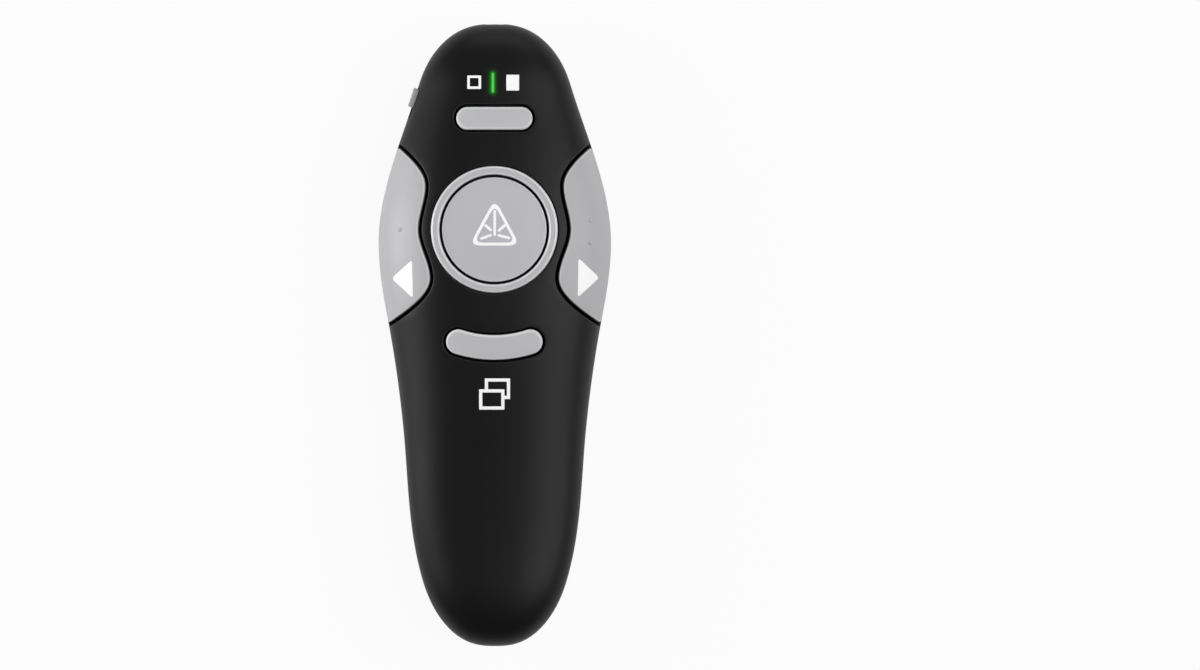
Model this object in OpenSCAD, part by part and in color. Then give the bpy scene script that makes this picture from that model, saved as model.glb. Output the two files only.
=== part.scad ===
// Wireless presentation clicker, lying on its back: the buttons face +Z, the nose
// points along +Y and +X is to the right. The origin is under the middle of the body,
// on the surface that it rests on. Sizes are in millimetres.

/* [Body outline] */
// Length from nose to tail
body_l = 128; // [126:0.5:131]
// Width over the paddles, at the widest point
body_w = 47.8; // [47:0.1:49]
// How far the widest point lies ahead of the middle
widest_y = 19; // [18:0.5:20]
// Width just behind the paddles
flare_w = 44.4; // [43.8:0.1:45]
// How far that width lies ahead of the middle
flare_y = 4.3; // [3.5:0.1:5]
// Width of the handle
waist_w = 36.8; // [36.4:0.1:38]
// How far behind the middle the handle has that width
waist_back = 24; // [22:0.5:26]
// Width where the tail starts to round
tail_w = 31; // [30.8:0.1:32.5]
// Length of the rounded tail
tail_round = 16; // [15:0.5:17]
// Width of the neck, where the nose starts to round
neck_w = 31.5; // [31:0.1:32.5]
// Length of the rounded nose
nose_round = 13; // [12:0.5:14]
// Fullness of the rounded ends, where 2 is an ellipse
end_power = 2.6; // [2.4:0.05:2.8]

/* [Body section] */
// Height of the seam between the upper and the lower half
seam_z = 11.5; // [11.4:0.05:11.8]
// Height of the crown above the seam, at the widest point
crown_h = 14; // [13.8:0.1:14.6]
// Height of the crown above the seam, at the neck
neck_h = 9.8; // [9.6:0.1:10.4]
// Height of the crown above the seam, at the tail
tail_h = 8.4; // [8.2:0.1:9]
// Depth of the belly below the seam, before the resting flat is cut from it
belly_d = 12.1; // [12:0.05:12.3]
// Depth of the belly below the seam, at the neck
neck_d = 7.8; // [7.4:0.1:8.4]
// Fullness of the upper half's section
crown_power = 2.6; // [2.5:0.05:2.8]
// Fullness of the lower half's section
belly_power = 2.4; // [2.3:0.05:2.6]
// Wall of the shells
wall = 1.8; // [1.6:0.05:1.9]
// Gap between the cover and the shells round it
cover_gap = 0.3; // [0.2:0.05:0.4]

/* [Laser button] */
// How far the round button lies ahead of the middle
ring_y = 21.6; // [21:0.1:22]
// Outer diameter of the ring
ring_d = 26; // [25:0.1:26.6]
// Width of the ring's visible face
ring_face = 1.8; // [1.5:0.1:2]
// How far the ring's face lies below the crown
ring_sink = 0.5; // [0.3:0.05:0.7]
// Gap between the ring and the button
ring_gap = 0.45; // [0.35:0.05:0.5]
// Rise of the button's domed face above its rim
dome = 0.25; // [0.15:0.05:0.25]

/* [Screen button] */
// How far the pill-shaped button lies ahead of the middle
pill_y = 44.5; // [44:0.1:45]
// Length of the pill
pill_l = 15.8; // [15:0.1:16.4]
// Width of the pill
pill_w = 4.7; // [4.6:0.1:5.2]

/* [Window button] */
// Radius of the curved button's centre line, about the round button
band_r = 24.2; // [24:0.1:24.6]
// Width of the curved button
band_w = 5.1; // [4.8:0.1:5.4]
// Half of the angle between the centres of its round ends
band_angle = 17.9; // [17.5:0.1:19.5]

/* [Buttons] */
// How far the screen and the window button stand above the shell
button_proud = 0.4; // [0.3:0.05:0.5]
// Gap round the screen and the window button
button_gap = 0.5; // [0.4:0.05:0.6]
// Travel of the three press buttons
button_travel = 0.6; // [0.4:0.05:0.7]
// Thickness of the buttons' and the paddles' walls
button_wall = 1.6; // [1.4:0.05:1.8]

/* [Paddles] */
// Gap between a paddle and the shell
paddle_gap = 0.8; // [0.7:0.05:0.9]
// Height of a paddle's lower edge above the seam
paddle_lift = 1; // [0.9:0.05:1.2]
// Thickness of a paddle
paddle_t = 2; // [1.8:0.05:2.2]
// Half-width of the shell between the paddles, at their waist
paddle_waist = 15.8; // [15.6:0.05:16]
// How far the paddles' pivots lie ahead of the middle
pivot_y = 33.5; // [33:0.1:34]
// Radius of the pivot stubs
pivot_r = 1.05; // [0.95:0.05:1.15]
// Running clearance of the paddles on their stubs, on the radius
pivot_fit = 0.06; // [0.04:0.01:0.08]
// Distance of a paddle's switch from the centre line
paddle_switch_x = 15.4; // [15.3:0.05:15.7]
// How far a paddle's switch lies ahead of the middle
paddle_switch_y = 11.7; // [11.4:0.1:12.2]
// Distance of a paddle's tactile dot from the centre line
dot_x = 19.6; // [19.2:0.1:20]
// How far the dots lie ahead of the middle
dot_y = 21.6; // [21:0.1:22.4]
// Radius of a tactile dot
dot_r = 0.5; // [0.4:0.05:0.6]

/* [Power switch] */
// How far the slide switch lies ahead of the middle
power_y = 48.7; // [48.3:0.1:49]
// Length of its knob
knob_l = 4; // [3.8:0.1:4.2]
// Height of its knob
knob_h = 2.4; // [2.2:0.1:2.6]
// How far the knob stands out of the side
knob_proud = 0.8; // [0.7:0.05:1]
// Travel of the knob
knob_travel = 2; // [1.6:0.1:2.1]

/* [Battery bay] */
// Diameter of the AAA cell
cell_d = 10.5; // [10.4:0.05:10.5]
// Length of the AAA cell
cell_l = 44.5; // [44:0.1:44.5]
// Radial clearance of the cell in its bay
cell_fit = 0.25; // [0.2:0.05:0.3]
// Length of the tail behind the bay
bay_to_tail = 13.9; // [13.5:0.1:14.1]
// Length of the bay taken by the negative spring
spring_l = 3; // [2.8:0.1:3.2]
// How far the cell's axis lies above the deck
cell_sink = 1.6; // [1.5:0.05:1.8]
// Wall of the bays
bay_wall = 0.8; // [0.7:0.05:0.85]
// Thickness of the deck
deck_t = 1.2; // [1:0.05:1.4]
// Gap between the tray and the cover round it
tray_gap = 0.4; // [0.35:0.05:0.45]

/* [Receiver] */
// Width of the receiver's metal shell
plug_w = 12; // [11.9:0.05:12.1]
// Thickness of the receiver's metal shell
plug_t = 4.5; // [4.4:0.05:4.6]
// Length of the shell outside the plastic body
plug_l = 12.2; // [12:0.1:12.4]
// Sheet thickness of the metal shell
plug_sheet = 0.3; // [0.25:0.05:0.35]
// Width of the receiver's plastic body
grip_w = 14; // [13.8:0.1:14.1]
// Length of the plastic body
grip_l = 6.6; // [6.4:0.1:6.8]
// Thickness of the plastic body
grip_t = 6; // [5.8:0.1:6.2]
// How far the plug's mouth lies ahead of the middle
plug_y = 15; // [14.6:0.1:15.4]
// Clearance round the receiver in its bay
receiver_fit = 0.3; // [0.25:0.05:0.35]
// Travel of the receiver towards the finger recess
receiver_travel = 6; // [5.5:0.1:6.2]

/* [Cover and latch] */
// How far the cover's front edge lies ahead of the middle
cover_front = 18; // [17.5:0.1:18.5]
// How far behind the middle the curve of that edge is centred
cover_back = 1; // [0.5:0.1:1.5]
// Width of the ellipse that the edge follows
cover_edge_w = 49; // [48.6:0.1:49.6]
// How far the shell's lip reaches under the cover's edge
lip_reach = 1.5; // [1:0.1:2]
// Length of the thumb recess in the cover
thumb_l = 24; // [22:0.5:25]
// Width of the thumb recess
thumb_w = 16.6; // [15.5:0.1:17]
// Depth of the thumb recess
thumb_d = 0.7; // [0.5:0.05:0.8]
// Distance between the recess and the latch's pad
thumb_gap = 1.8; // [1.5:0.1:2.2]
// Length of the ridged pad on the latch
pad_l = 4; // [3.6:0.1:4.2]
// Width of the ridged pad
pad_w = 8; // [7.4:0.1:8.4]
// Thickness of the latch
latch_t = 1; // [0.9:0.05:1.1]
// Width of the latch's tongue
tongue_w = 5; // [4.6:0.1:5.4]
// How far the tongue reaches past the cover's edge
tongue_reach = 3.5; // [3:0.1:4]
// Travel of the latch
latch_travel = 1.5; // [1.2:0.1:1.6]

/* [Electronics] */
// Thickness of the circuit board
board_t = 1; // [0.8:0.05:1.1]
// Side of a press switch
switch_w = 6; // [5.9:0.05:6]
// Height of a press switch's body
switch_h = 2; // [1.9:0.05:2.1]
// Radius of a press switch's plunger
plunger_r = 1.6; // [1.5:0.05:1.7]
// Height of a plunger above its switch
plunger_up = 0.8; // [0.75:0.05:0.9]
// Radius of the laser's barrel
laser_r = 3; // [2.8:0.05:3.1]
// Length of the laser's barrel
laser_l = 10; // [9:0.1:11]
// Radius of the window in the nose
window_r = 2.2; // [2:0.05:2.4]
// Length of the light bar
bar_l = 4.1; // [3.8:0.1:4.3]
// Width of the light bar
bar_w = 0.55; // [0.5:0.05:0.65]
// How far the light bar lies ahead of the middle
bar_y = 51.85; // [51.5:0.05:52]

/* [Hidden] */

// Facets of the free-form shells and of the round details
along_step = 3.5;
end_steps = 8;
half_turn_steps = 18;
edge_step = 1.5;
round_fn = 48;
fine_fn = 32;
over = 1;

// The outline: [place along Y, half-width, slope] at the places that set it
nose_c = body_l / 2 - nose_round;
tail_c = tail_round - body_l / 2;
width_knots = [
    [tail_c, tail_w / 2, 0.25],
    [-waist_back, waist_w / 2, 0.075],
    [flare_y, flare_w / 2, 0.19],
    [widest_y, body_w / 2, 0],
    [nose_c, neck_w / 2, -0.31]
];
crown_knots = [[tail_c, tail_h, 0.03], [widest_y, crown_h, 0], [nose_c, neck_h, -0.14]];
belly_knots = [[tail_c, belly_d, 0], [widest_y, belly_d, 0], [nose_c, neck_d, -0.1]];

// The paddles' inner edge: [place along Y, distance from the centre line, slope]
paddle_knots = [
    [2.8, 21.5, -1.55],
    [11.6, 13.35, 0],
    [ring_y, paddle_waist, 0],
    [30.6, 14.33, 0],
    [38.3, 19.7, 1.14]
];
paddle_run_out = 3;

// Smooth curve through knots, straight beyond the first and the last
function ease(t, p, q, h) =
    p[1] * (2 * pow(t, 3) - 3 * t * t + 1) + q[1] * (3 * t * t - 2 * pow(t, 3))
    + h * (p[2] * (pow(t, 3) - 2 * t * t + t) + q[2] * (pow(t, 3) - t * t));
function last(list) = list[len(list) - 1];
function along(k, y) =
    y <= k[0][0] ? k[0][1] + k[0][2] * (y - k[0][0]) :
    y >= last(k)[0] ? last(k)[1] + last(k)[2] * (y - last(k)[0]) :
    let (i = max([for (j = [0 : len(k) - 2]) if (y >= k[j][0]) j]))
    ease((y - k[i][0]) / (k[i + 1][0] - k[i][0]), k[i], k[i + 1], k[i + 1][0] - k[i][0]);

// Superellipse: how much is left of one half-axis at share t of the other
function arch(t, p) = t >= 1 ? 0 : pow(1 - pow(max(t, 0), p), 1 / p);
// How much the rounded ends shrink the section at y, for a form inset by d
function end_scale(y, d) =
    y > nose_c ? arch((y - nose_c) / (nose_round - d), end_power) :
    y < tail_c ? arch((tail_c - y) / (tail_round - d), end_power) : 1;
function half_w(y, d = 0) = (along(width_knots, y) - d) * end_scale(y, d);
function crown(y, d = 0) = (along(crown_knots, y) - d) * end_scale(y, d);
function belly(y, d = 0) = (along(belly_knots, y) - d) * end_scale(y, d);
// Height of the upper surface over a point, and half-width of the lower half at a height
function top_z(x, y, d = 0) = seam_z + crown(y, d) * arch(abs(x) / half_w(y, d), crown_power);
function side_x(y, z, d = 0) = half_w(y, d) * arch((seam_z - z) / belly(y, d), belly_power);

// Places along the body where the free form is sampled
function end_place(k) = pow(sin(90 * k / end_steps), 2 / end_power);
mid_n = ceil((nose_c - tail_c) / along_step);
function places(d) = concat(
    [for (k = [end_steps - 1 : -1 : 1]) tail_c - (tail_round - d) * end_place(k)],
    [for (k = [0 : mid_n]) tail_c + (nose_c - tail_c) * k / mid_n],
    [for (k = [1 : end_steps - 1]) nose_c + (nose_round - d) * end_place(k)]);

// Half a section, from +X over the crown, or under the belly, to -X
function half_ring(y, d, up) = [
    for (j = [0 : half_turn_steps])
        let (p = up ? crown_power : belly_power,
             c = cos(180 * j / half_turn_steps), s = sin(180 * j / half_turn_steps))
        [half_w(y, d) * sign(c) * pow(abs(c), 2 / p), y,
         up ? seam_z + crown(y, d) * pow(s, 2 / p)
            : max(d, seam_z - belly(y, d) * pow(s, 2 / p))]
];

// Upper or lower half of a shell between two insets, from place index `first` to `after`.
// An end of the whole body runs to a point, and any other end is closed flat.
module half_shell(d_out, d_in, up, first = 0, after = undef) {
    m = half_turn_steps + 1;
    all_out = places(d_out);
    all_in = places(d_in);
    stop = is_undef(after) ? len(all_out) - 1 : after;
    tail_open = first == 0;
    nose_open = stop == len(all_out) - 1;
    n = stop - first + 1;
    inner = n * m;
    tips = 2 * n * m;
    // Ends that are closed flat share one plane for both skins
    function y_in(i) = i == 0 && !tail_open ? all_out[first]
        : i == n - 1 && !nose_open ? all_out[stop] : all_in[first + i];
    points = concat(
        [for (i = [0 : n - 1]) each half_ring(all_out[first + i], d_out, up)],
        [for (i = [0 : n - 1]) each half_ring(y_in(i), d_in, up)],
        [[0, d_out - body_l / 2, seam_z], [0, body_l / 2 - d_out, seam_z],
         [0, d_in - body_l / 2, seam_z], [0, body_l / 2 - d_in, seam_z]]);
    function face(a, b, c) = up ? [a, b, c] : [a, c, b];
    function quad(a, b, c, d) = [face(a, b, c), face(a, c, d)];
    j_last = half_turn_steps;
    end_row = (n - 1) * m;
    faces = concat(
        [for (i = [0 : n - 2], j = [0 : j_last - 1]) each concat(
            quad(i * m + j, i * m + j + 1, (i + 1) * m + j + 1, (i + 1) * m + j),
            quad(inner + i * m + j, inner + (i + 1) * m + j,
                 inner + (i + 1) * m + j + 1, inner + i * m + j + 1))],
        [for (i = [0 : n - 2]) each concat(
            quad(i * m, (i + 1) * m, inner + (i + 1) * m, inner + i * m),
            quad(i * m + j_last, inner + i * m + j_last,
                 inner + (i + 1) * m + j_last, (i + 1) * m + j_last))],
        tail_open
            ? concat(
                [for (j = [0 : j_last - 1]) each [
                    face(tips, j + 1, j), face(tips + 2, inner + j, inner + j + 1)]],
                quad(tips, 0, inner, tips + 2),
                quad(tips, tips + 2, inner + j_last, j_last))
            : [for (j = [0 : j_last - 1]) each quad(j, inner + j, inner + j + 1, j + 1)],
        nose_open
            ? concat(
                [for (j = [0 : j_last - 1]) each [
                    face(tips + 1, end_row + j, end_row + j + 1),
                    face(tips + 3, inner + end_row + j + 1, inner + end_row + j)]],
                quad(tips + 1, tips + 3, inner + end_row, end_row),
                quad(tips + 1, end_row + j_last, inner + end_row + j_last, tips + 3))
            : [for (j = [0 : j_last - 1])
                each quad(end_row + j, end_row + j + 1, inner + end_row + j + 1, inner + end_row + j)]);
    polyhedron(points, faces);
}
// Index of the last sampled place at or behind y
function place_before(y) = max([for (i = [0 : len(places(0)) - 1]) if (places(0)[i] <= y) i]);

// Block under the crown: its top follows the shell's surface, raised by `proud`
module crown_block(x_half, y0, y1, proud, bottom, nx = 8, ny = 4) {
    m = nx + 1;
    rows = ny + 1;
    function x_at(j) = -x_half + 2 * x_half * j / nx;
    function y_at(i) = y0 + (y1 - y0) * i / ny;
    low = m * rows;
    points = concat(
        [for (i = [0 : ny], j = [0 : nx]) [x_at(j), y_at(i), top_z(x_at(j), y_at(i), -proud)]],
        [for (i = [0 : ny], j = [0 : nx]) [x_at(j), y_at(i), bottom]]);
    function quad(a, b, c, d) = [[a, b, c], [a, c, d]];
    faces = concat(
        [for (i = [0 : ny - 1], j = [0 : nx - 1]) each concat(
            quad(i * m + j, (i + 1) * m + j, (i + 1) * m + j + 1, i * m + j + 1),
            quad(low + i * m + j, low + i * m + j + 1, low + (i + 1) * m + j + 1, low + (i + 1) * m + j))],
        [for (j = [0 : nx - 1]) each concat(
            quad(j, j + 1, low + j + 1, low + j),
            quad(ny * m + j + 1, ny * m + j, low + ny * m + j, low + ny * m + j + 1))],
        [for (i = [0 : ny - 1]) each concat(
            quad(i * m + nx, (i + 1) * m + nx, low + (i + 1) * m + nx, low + i * m + nx),
            quad((i + 1) * m, i * m, low + i * m, low + (i + 1) * m))]);
    polyhedron(points, faces);
}

// Heights inside, worked out from the resting face upwards
slide_gap = 0.1;
latch_z = wall + slide_gap;
cell_r = cell_d / 2;
bay_r = cell_r + cell_fit;
latch_to_cell = 0.45;
cell_z = latch_z + latch_t + latch_to_cell + cell_r;
deck_z = cell_z - cell_sink;
board_to_bay = 0.3;
board_z = cell_z + bay_r + bay_wall + board_to_bay;
board_top = board_z + board_t;
switch_top = board_top + switch_h;
plunger_top = switch_top + plunger_up;
plunger_in = 0.8;
plunger_fit = 0.15;

// The battery bay lies as far right as the tail allows, and the receiver left of it
contact_t = 0.4;
cell_slack = 0.2;
bay_end = bay_to_tail - body_l / 2;
bay_front = bay_end + spring_l + cell_l + cell_slack + contact_t;
tray_inset = wall + tray_gap;
cell_x = side_x(bay_end - bay_wall, deck_z, tray_inset) - bay_wall - bay_r;
receiver_x = cell_x - bay_r - bay_wall - receiver_fit - grip_w / 2;
receiver_proud = 0.4;
receiver_z = deck_z - receiver_proud + grip_t / 2;
grip_y = plug_y - plug_l - grip_l;
recess_back = grip_y - receiver_travel - receiver_fit;

// Screws and posts
tail_shank_r = 1.1;
tail_head_r = 2.4;
tail_head_h = 1;
board_shank_r = 0.8;
board_head_r = 1.7;
board_head_h = 0.9;
tail_screw_y = bay_end - bay_wall - tail_head_r - 2.7;
post_r = 3;
front_post_r = 2.3;
front_post = [9, bay_front + bay_wall + front_post_r + 5.9];
board_post = [8.5, 38];
board_post_r = 2.2;
// How far the posts reach into the shell's wall
post_root = wall / 2;

// Round button: heights of its ring
ring_r = ring_d / 2;
ring_top = top_z(0, ring_y) - ring_sink;
ring_in = ring_r - ring_face;
ring_flange = 0.9;
ring_flange_t = 0.8;
ring_seat = min([for (a = [0 : 10 : 350])
    top_z((ring_r + ring_flange) * cos(a), ring_y + (ring_r + ring_flange) * sin(a), wall)]);
ring_low = ring_seat - 0.05 - ring_flange_t;
ring_chamfer = 0.4;
ring_bore = ring_r - 0.7;
cap_r = ring_in - ring_gap;
cap_flange_r = ring_bore - 0.4;
cap_flange_t = 0.8;
cap_flange_z = ring_low + 0.7;
ring_lip_z = cap_flange_z + cap_flange_t + 0.3;
cap_top = ring_top - 0.1;
cap_edge = 0.4;
stem_r = plunger_r + 0.1;

// Paddle pivots
pivot_z = board_z - 0.4;
lug_x = 12.4;
lug_t = 1.7;
lug_half = 1.6;
ear_x = 15.8;
ear_t = 1.8;
ear_r = 2;
stub_reach = ear_x + ear_t + 0.2;
// Sill behind the slot under a paddle
sill_h = paddle_lift + 0.8;
sill_steps = 16;
sill_back = paddle_knots[0][0] - paddle_gap - 3.4;
sill_front = last(paddle_knots)[0] + paddle_gap + 2.4;

// Power switch: its own axes lie along the slanting side
power_slope = (half_w(power_y + 1) - half_w(power_y - 1)) / 2;
power_turn = atan(power_slope);
case_h = 3.3;
power_z = board_z - case_h / 2;
case_in = 3.4;
case_depth = 3.6;
case_l = 8.6;
lever_in = 0.9;
lever_w = 1.4;
lever_h = 1.4;
knob_fit = 0.2;
// Plate behind the knob, which keeps the window shut at both ends of the travel
knob_plate = [2.65, 3.15];

module on_side() {
    translate([-half_w(power_y), power_y, power_z]) rotate([0, 0, power_turn]) children();
}
module box(low, high) {
    translate(low) cube(high - low);
}
module both_sides() {
    children();
    mirror([1, 0, 0]) children();
}

// Outlines -----------------------------------------------------------------

// Points of a paddle's inner edge, moved towards the centre line by g
function paddle_slope(y) = (along(paddle_knots, y + 0.05) - along(paddle_knots, y - 0.05)) / 0.1;
function paddle_edge(y, g) =
    let (s = paddle_slope(y), n = sqrt(1 + s * s))
    [along(paddle_knots, y) - g / n, y + g * s / n];
paddle_low = paddle_knots[0][0] - paddle_run_out;
paddle_high = last(paddle_knots)[0] + paddle_run_out;
module paddle_area(g) {
    edge_n = ceil((paddle_high - paddle_low) / edge_step);
    out_x = body_w / 2 + 4;
    polygon(concat(
        [for (i = [0 : edge_n]) paddle_edge(paddle_low + (paddle_high - paddle_low) * i / edge_n, g)],
        [[out_x, paddle_high + g], [out_x, paddle_low - g]]));
}
module pill_area(g) {
    reach = (pill_l - pill_w) / 2;
    translate([0, pill_y]) {
        square([2 * reach, pill_w + 2 * g], center = true);
        for (side = [-1, 1]) translate([side * reach, 0]) circle(r = pill_w / 2 + g, $fn = fine_fn);
    }
}
module band_area(g) {
    half = band_w / 2 + g;
    far = band_r + band_w;
    translate([0, ring_y]) {
        intersection() {
            difference() {
                circle(r = band_r + half, $fn = 2 * round_fn);
                circle(r = band_r - half, $fn = 2 * round_fn);
            }
            polygon([[0, 0], far * [-tan(band_angle), -1], far * [tan(band_angle), -1]]);
        }
        for (side = [-1, 1])
            rotate(side * band_angle) translate([0, -band_r]) circle(r = half, $fn = fine_fn);
    }
}
// Everything behind the cover's curved front edge, grown by g
module behind_edge(g) {
    half = cover_edge_w / 2;
    depth = cover_front + cover_back;
    polygon(concat(
        [for (a = [0 : 6 : 180]) [half * cos(a), (depth + g) * sin(a) - cover_back]],
        [[-half, -body_l], [half, -body_l]]));
}
// Outline of the tray where its wall stands at height z, further in by g
module tray_area(z, g = 0) {
    ys = [for (y = places(tray_inset)) if (y < plug_y && side_x(y, z, tray_inset) > 2 * g + 3) y];
    front = plug_y + receiver_fit + bay_wall;
    function at(y) = [side_x(y, z, tray_inset) - g, y];
    polygon(concat(
        [for (y = ys) at(max(y, ys[0] + g))],
        [at(front - g)],
        [let (p = at(front - g)) [-p[0], p[1]]],
        [for (i = [len(ys) - 1 : -1 : 0]) let (p = at(max(ys[i], ys[0] + g))) [-p[0], p[1]]]));
}

// Shells --------------------------------------------------------------------

module top_shell() {
    color([0.13, 0.13, 0.14]) {
        difference() {
            union() {
                half_shell(0, wall, true);
                // Post for the tail screw, post that locates the tray, posts for the board
                post([0, tail_screw_y], post_r, deck_z + deck_t);
                post(front_post, front_post_r, deck_z + deck_t);
                both_sides() post(board_post, board_post_r, board_top);
            }
            // Seat of the ring
            translate([0, ring_y, board_top])
                cylinder(r = ring_r, h = crown_h, $fn = 2 * round_fn);
            translate([0, ring_y, ring_top - ring_sink])
                cylinder(r = ring_r + ring_sink, h = crown_h, $fn = 2 * round_fn);
            translate([0, 0, plunger_top - over]) linear_extrude(crown_h) pill_area(button_gap);
            translate([0, 0, plunger_top - over]) linear_extrude(crown_h) band_area(button_gap);
            both_sides() translate([0, 0, seam_z - over]) linear_extrude(crown_h + 2 * over)
                paddle_area(paddle_gap);
            // Slot of the light bar, and the nose window's half of its hole
            box([-bar_w, bar_y - bar_l / 2, board_top],
                [0, bar_y + bar_l / 2, seam_z + crown_h]);
            nose_hole();
            // Window of the power knob
            on_side() box(
                [-over - wall, -knob_l / 2 - knob_travel - knob_fit, -knob_h / 2 - knob_fit],
                [2 * wall, knob_l / 2 + knob_fit, knob_h / 2 + knob_fit]);
            // Pilot holes
            translate([0, tail_screw_y, 0])
                cylinder(r = tail_shank_r, h = board_z, $fn = fine_fn);
            both_sides() translate([board_post[0], board_post[1], 0])
                cylinder(r = board_shank_r, h = plunger_top, $fn = fine_fn);
        }
        both_sides() {
            // Lug and stub that a paddle turns on
            box([lug_x, pivot_y - lug_half, pivot_z - lug_half],
                [lug_x + lug_t, pivot_y + lug_half, top_z(lug_x + lug_t, pivot_y) - post_root]);
            translate([lug_x + lug_t / 2, pivot_y, pivot_z]) rotate([0, 90, 0])
                cylinder(r = pivot_r, h = stub_reach - lug_x - lug_t / 2, $fn = fine_fn);
            translate([0, 0, seam_z]) linear_extrude(sill_h) sill_area();
        }
    }
}
// Sill that closes the view below a paddle; its ends run into the shell's wall
module sill_area() {
    inset = paddle_t + 0.4;
    root = 1.4;
    ys = [for (i = [0 : sill_steps]) sill_back + (sill_front - sill_back) * i / sill_steps];
    function outer(y) = half_w(y) - (y < sill_back + root || y > sill_front - root ? post_root : inset);
    polygon(concat(
        [for (y = ys) [outer(y), y]],
        [for (i = [sill_steps : -1 : 0]) [half_w(ys[i]) - inset - 1, ys[i]]]));
}
// Post that hangs from the crown's inside down to height z
module post(place, r, z) {
    translate([place[0], place[1], z])
        cylinder(r = r, h = top_z(norm([place[0], 0]), place[1]) - post_root - z, $fn = fine_fn);
}
module nose_hole() {
    translate([0, body_l / 2 - 2 * wall, seam_z]) rotate([-90, 0, 0])
        cylinder(r = window_r, h = 3 * wall, $fn = fine_fn);
}

cradle_y = [nose_c + 2.5, nose_c + 7.5];
cradle_t = 1.2;
lip_t = 0.8;
lip_in = wall + slide_gap;
lip_root = 1.2;
module bottom_shell() {
    color([0.13, 0.13, 0.14]) difference() {
        union() {
            difference() {
                half_shell(0, wall, false, place_before(-cover_back));
                translate([0, 0, -over]) linear_extrude(seam_z + 2 * over) behind_edge(cover_gap);
            }
            edge_lip();
            // Saddles that carry the laser
            for (y = cradle_y)
                box([-laser_r - 1, y - cradle_t / 2, seam_z - belly(y, wall / 2)],
                    [laser_r + 1, y + cradle_t / 2, seam_z]);
        }
        nose_hole();
        laser_bore();
    }
}
// Lip behind the shell's curved edge: the cover's edge rests on it, and the latch passes through
module edge_lip() {
    slot_half = pad_w / 2 + 0.5;
    top = deck_z - tray_gap;
    // Stretch of the lower half between two insets, as far ahead as the lip's root
    module stretch(d_out, behind) {
        intersection() {
            half_shell(d_out, lip_in + lip_t, false, place_before(-cover_back),
                place_before(cover_front) + 1);
            linear_extrude(top) difference() {
                behind_edge(cover_gap + lip_root);
                behind_edge(behind);
            }
        }
    }
    difference() {
        union() {
            stretch(lip_in, -lip_reach);
            stretch(wall / 2, cover_gap + slide_gap);
        }
        box([-slot_half, 0, 0], [slot_half, body_l / 2, top]);
    }
}
module laser_bore() {
    translate([0, nose_c - over, seam_z]) rotate([-90, 0, 0])
        cylinder(r = laser_r, h = laser_l + over, $fn = round_fn);
}

rail_z = seam_z - 2.3;
rail_t = 1;
rim_top = seam_z - 0.2;
module battery_tray() {
    color([0.2, 0.2, 0.21]) difference() {
        union() {
            translate([0, 0, deck_z]) linear_extrude(deck_t) tray_area(deck_z);
            translate([0, 0, deck_z]) linear_extrude(rail_z + rail_t - deck_z) difference() {
                tray_area(deck_z);
                tray_area(deck_z, 1);
            }
            // Rail that the cover's lugs hook over
            translate([0, 0, rail_z]) linear_extrude(rail_t) difference() {
                tray_area(rail_z);
                tray_area(deck_z, 0.5);
            }
            box([cell_x - bay_r - bay_wall, bay_end - bay_wall, deck_z],
                [cell_x + bay_r + bay_wall, bay_front + bay_wall, cell_z + bay_r + bay_wall]);
            box([receiver_x - grip_w / 2 - receiver_fit - bay_wall, recess_back - bay_wall, deck_z],
                [receiver_x + grip_w / 2 + receiver_fit + bay_wall,
                 plug_y + receiver_fit + bay_wall, receiver_z + grip_t / 2 + receiver_fit + bay_wall]);
        }
        // Battery bay: a half-round trough with straight sides below the axis
        translate([cell_x, bay_end, cell_z]) rotate([-90, 0, 0])
            cylinder(r = bay_r, h = bay_front - bay_end, $fn = round_fn);
        box([cell_x - bay_r, bay_end, deck_z - over], [cell_x + bay_r, bay_front, cell_z]);
        // Receiver bay: a wide part for the body and the recess, a narrow one for the plug
        box([receiver_x - grip_w / 2 - receiver_fit, recess_back, deck_z - over],
            [receiver_x + grip_w / 2 + receiver_fit, grip_y + grip_l + receiver_fit,
             receiver_z + grip_t / 2 + receiver_fit]);
        box([receiver_x - plug_w / 2 - receiver_fit, grip_y, deck_z - over],
            [receiver_x + plug_w / 2 + receiver_fit, plug_y + receiver_fit,
             receiver_z + plug_t / 2 + receiver_fit]);
        // Hole of the tail screw, and slot of the positive contact's tab
        translate([0, tail_screw_y, deck_z - over])
            cylinder(r = tail_shank_r, h = deck_t + 2 * over, $fn = fine_fn);
        box([cell_x - tab_w / 2, bay_front - contact_t, cell_z],
            [cell_x + tab_w / 2, bay_front, board_z]);
    }
}

// Battery and its contacts ----------------------------------------------------

cell_front = bay_front - contact_t - cell_slack;
nub_l = 1;
nub_r = 1.9;
tab_w = 3;
module battery_cell() {
    color([0.75, 0.6, 0.2]) translate([cell_x, cell_front, cell_z]) rotate([90, 0, 0]) {
        cylinder(r = nub_r, h = cell_l, $fn = fine_fn);
        translate([0, 0, nub_l]) cylinder(r = cell_r, h = cell_l - nub_l, $fn = round_fn);
    }
}
contact_half = 3.6;
module positive_contact() {
    color([0.8, 0.8, 0.82]) {
        box([cell_x - contact_half, bay_front - contact_t, cell_z - contact_half],
            [cell_x + contact_half, bay_front, cell_z + contact_half]);
        box([cell_x - tab_w / 2, bay_front - contact_t, cell_z + contact_half - over],
            [cell_x + tab_w / 2, bay_front, board_z]);
        // Dimple that meets the cell
        translate([cell_x, cell_front, cell_z]) rotate([-90, 0, 0])
            cylinder(r = nub_r, h = bay_front - cell_front, $fn = fine_fn);
    }
}
coil_turns = 3;
coil_sides = 6;
coil_wire = 0.35;
coil_wide = 3.4;
coil_narrow = 2.2;
coil_steps = 12 * coil_turns;
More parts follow.
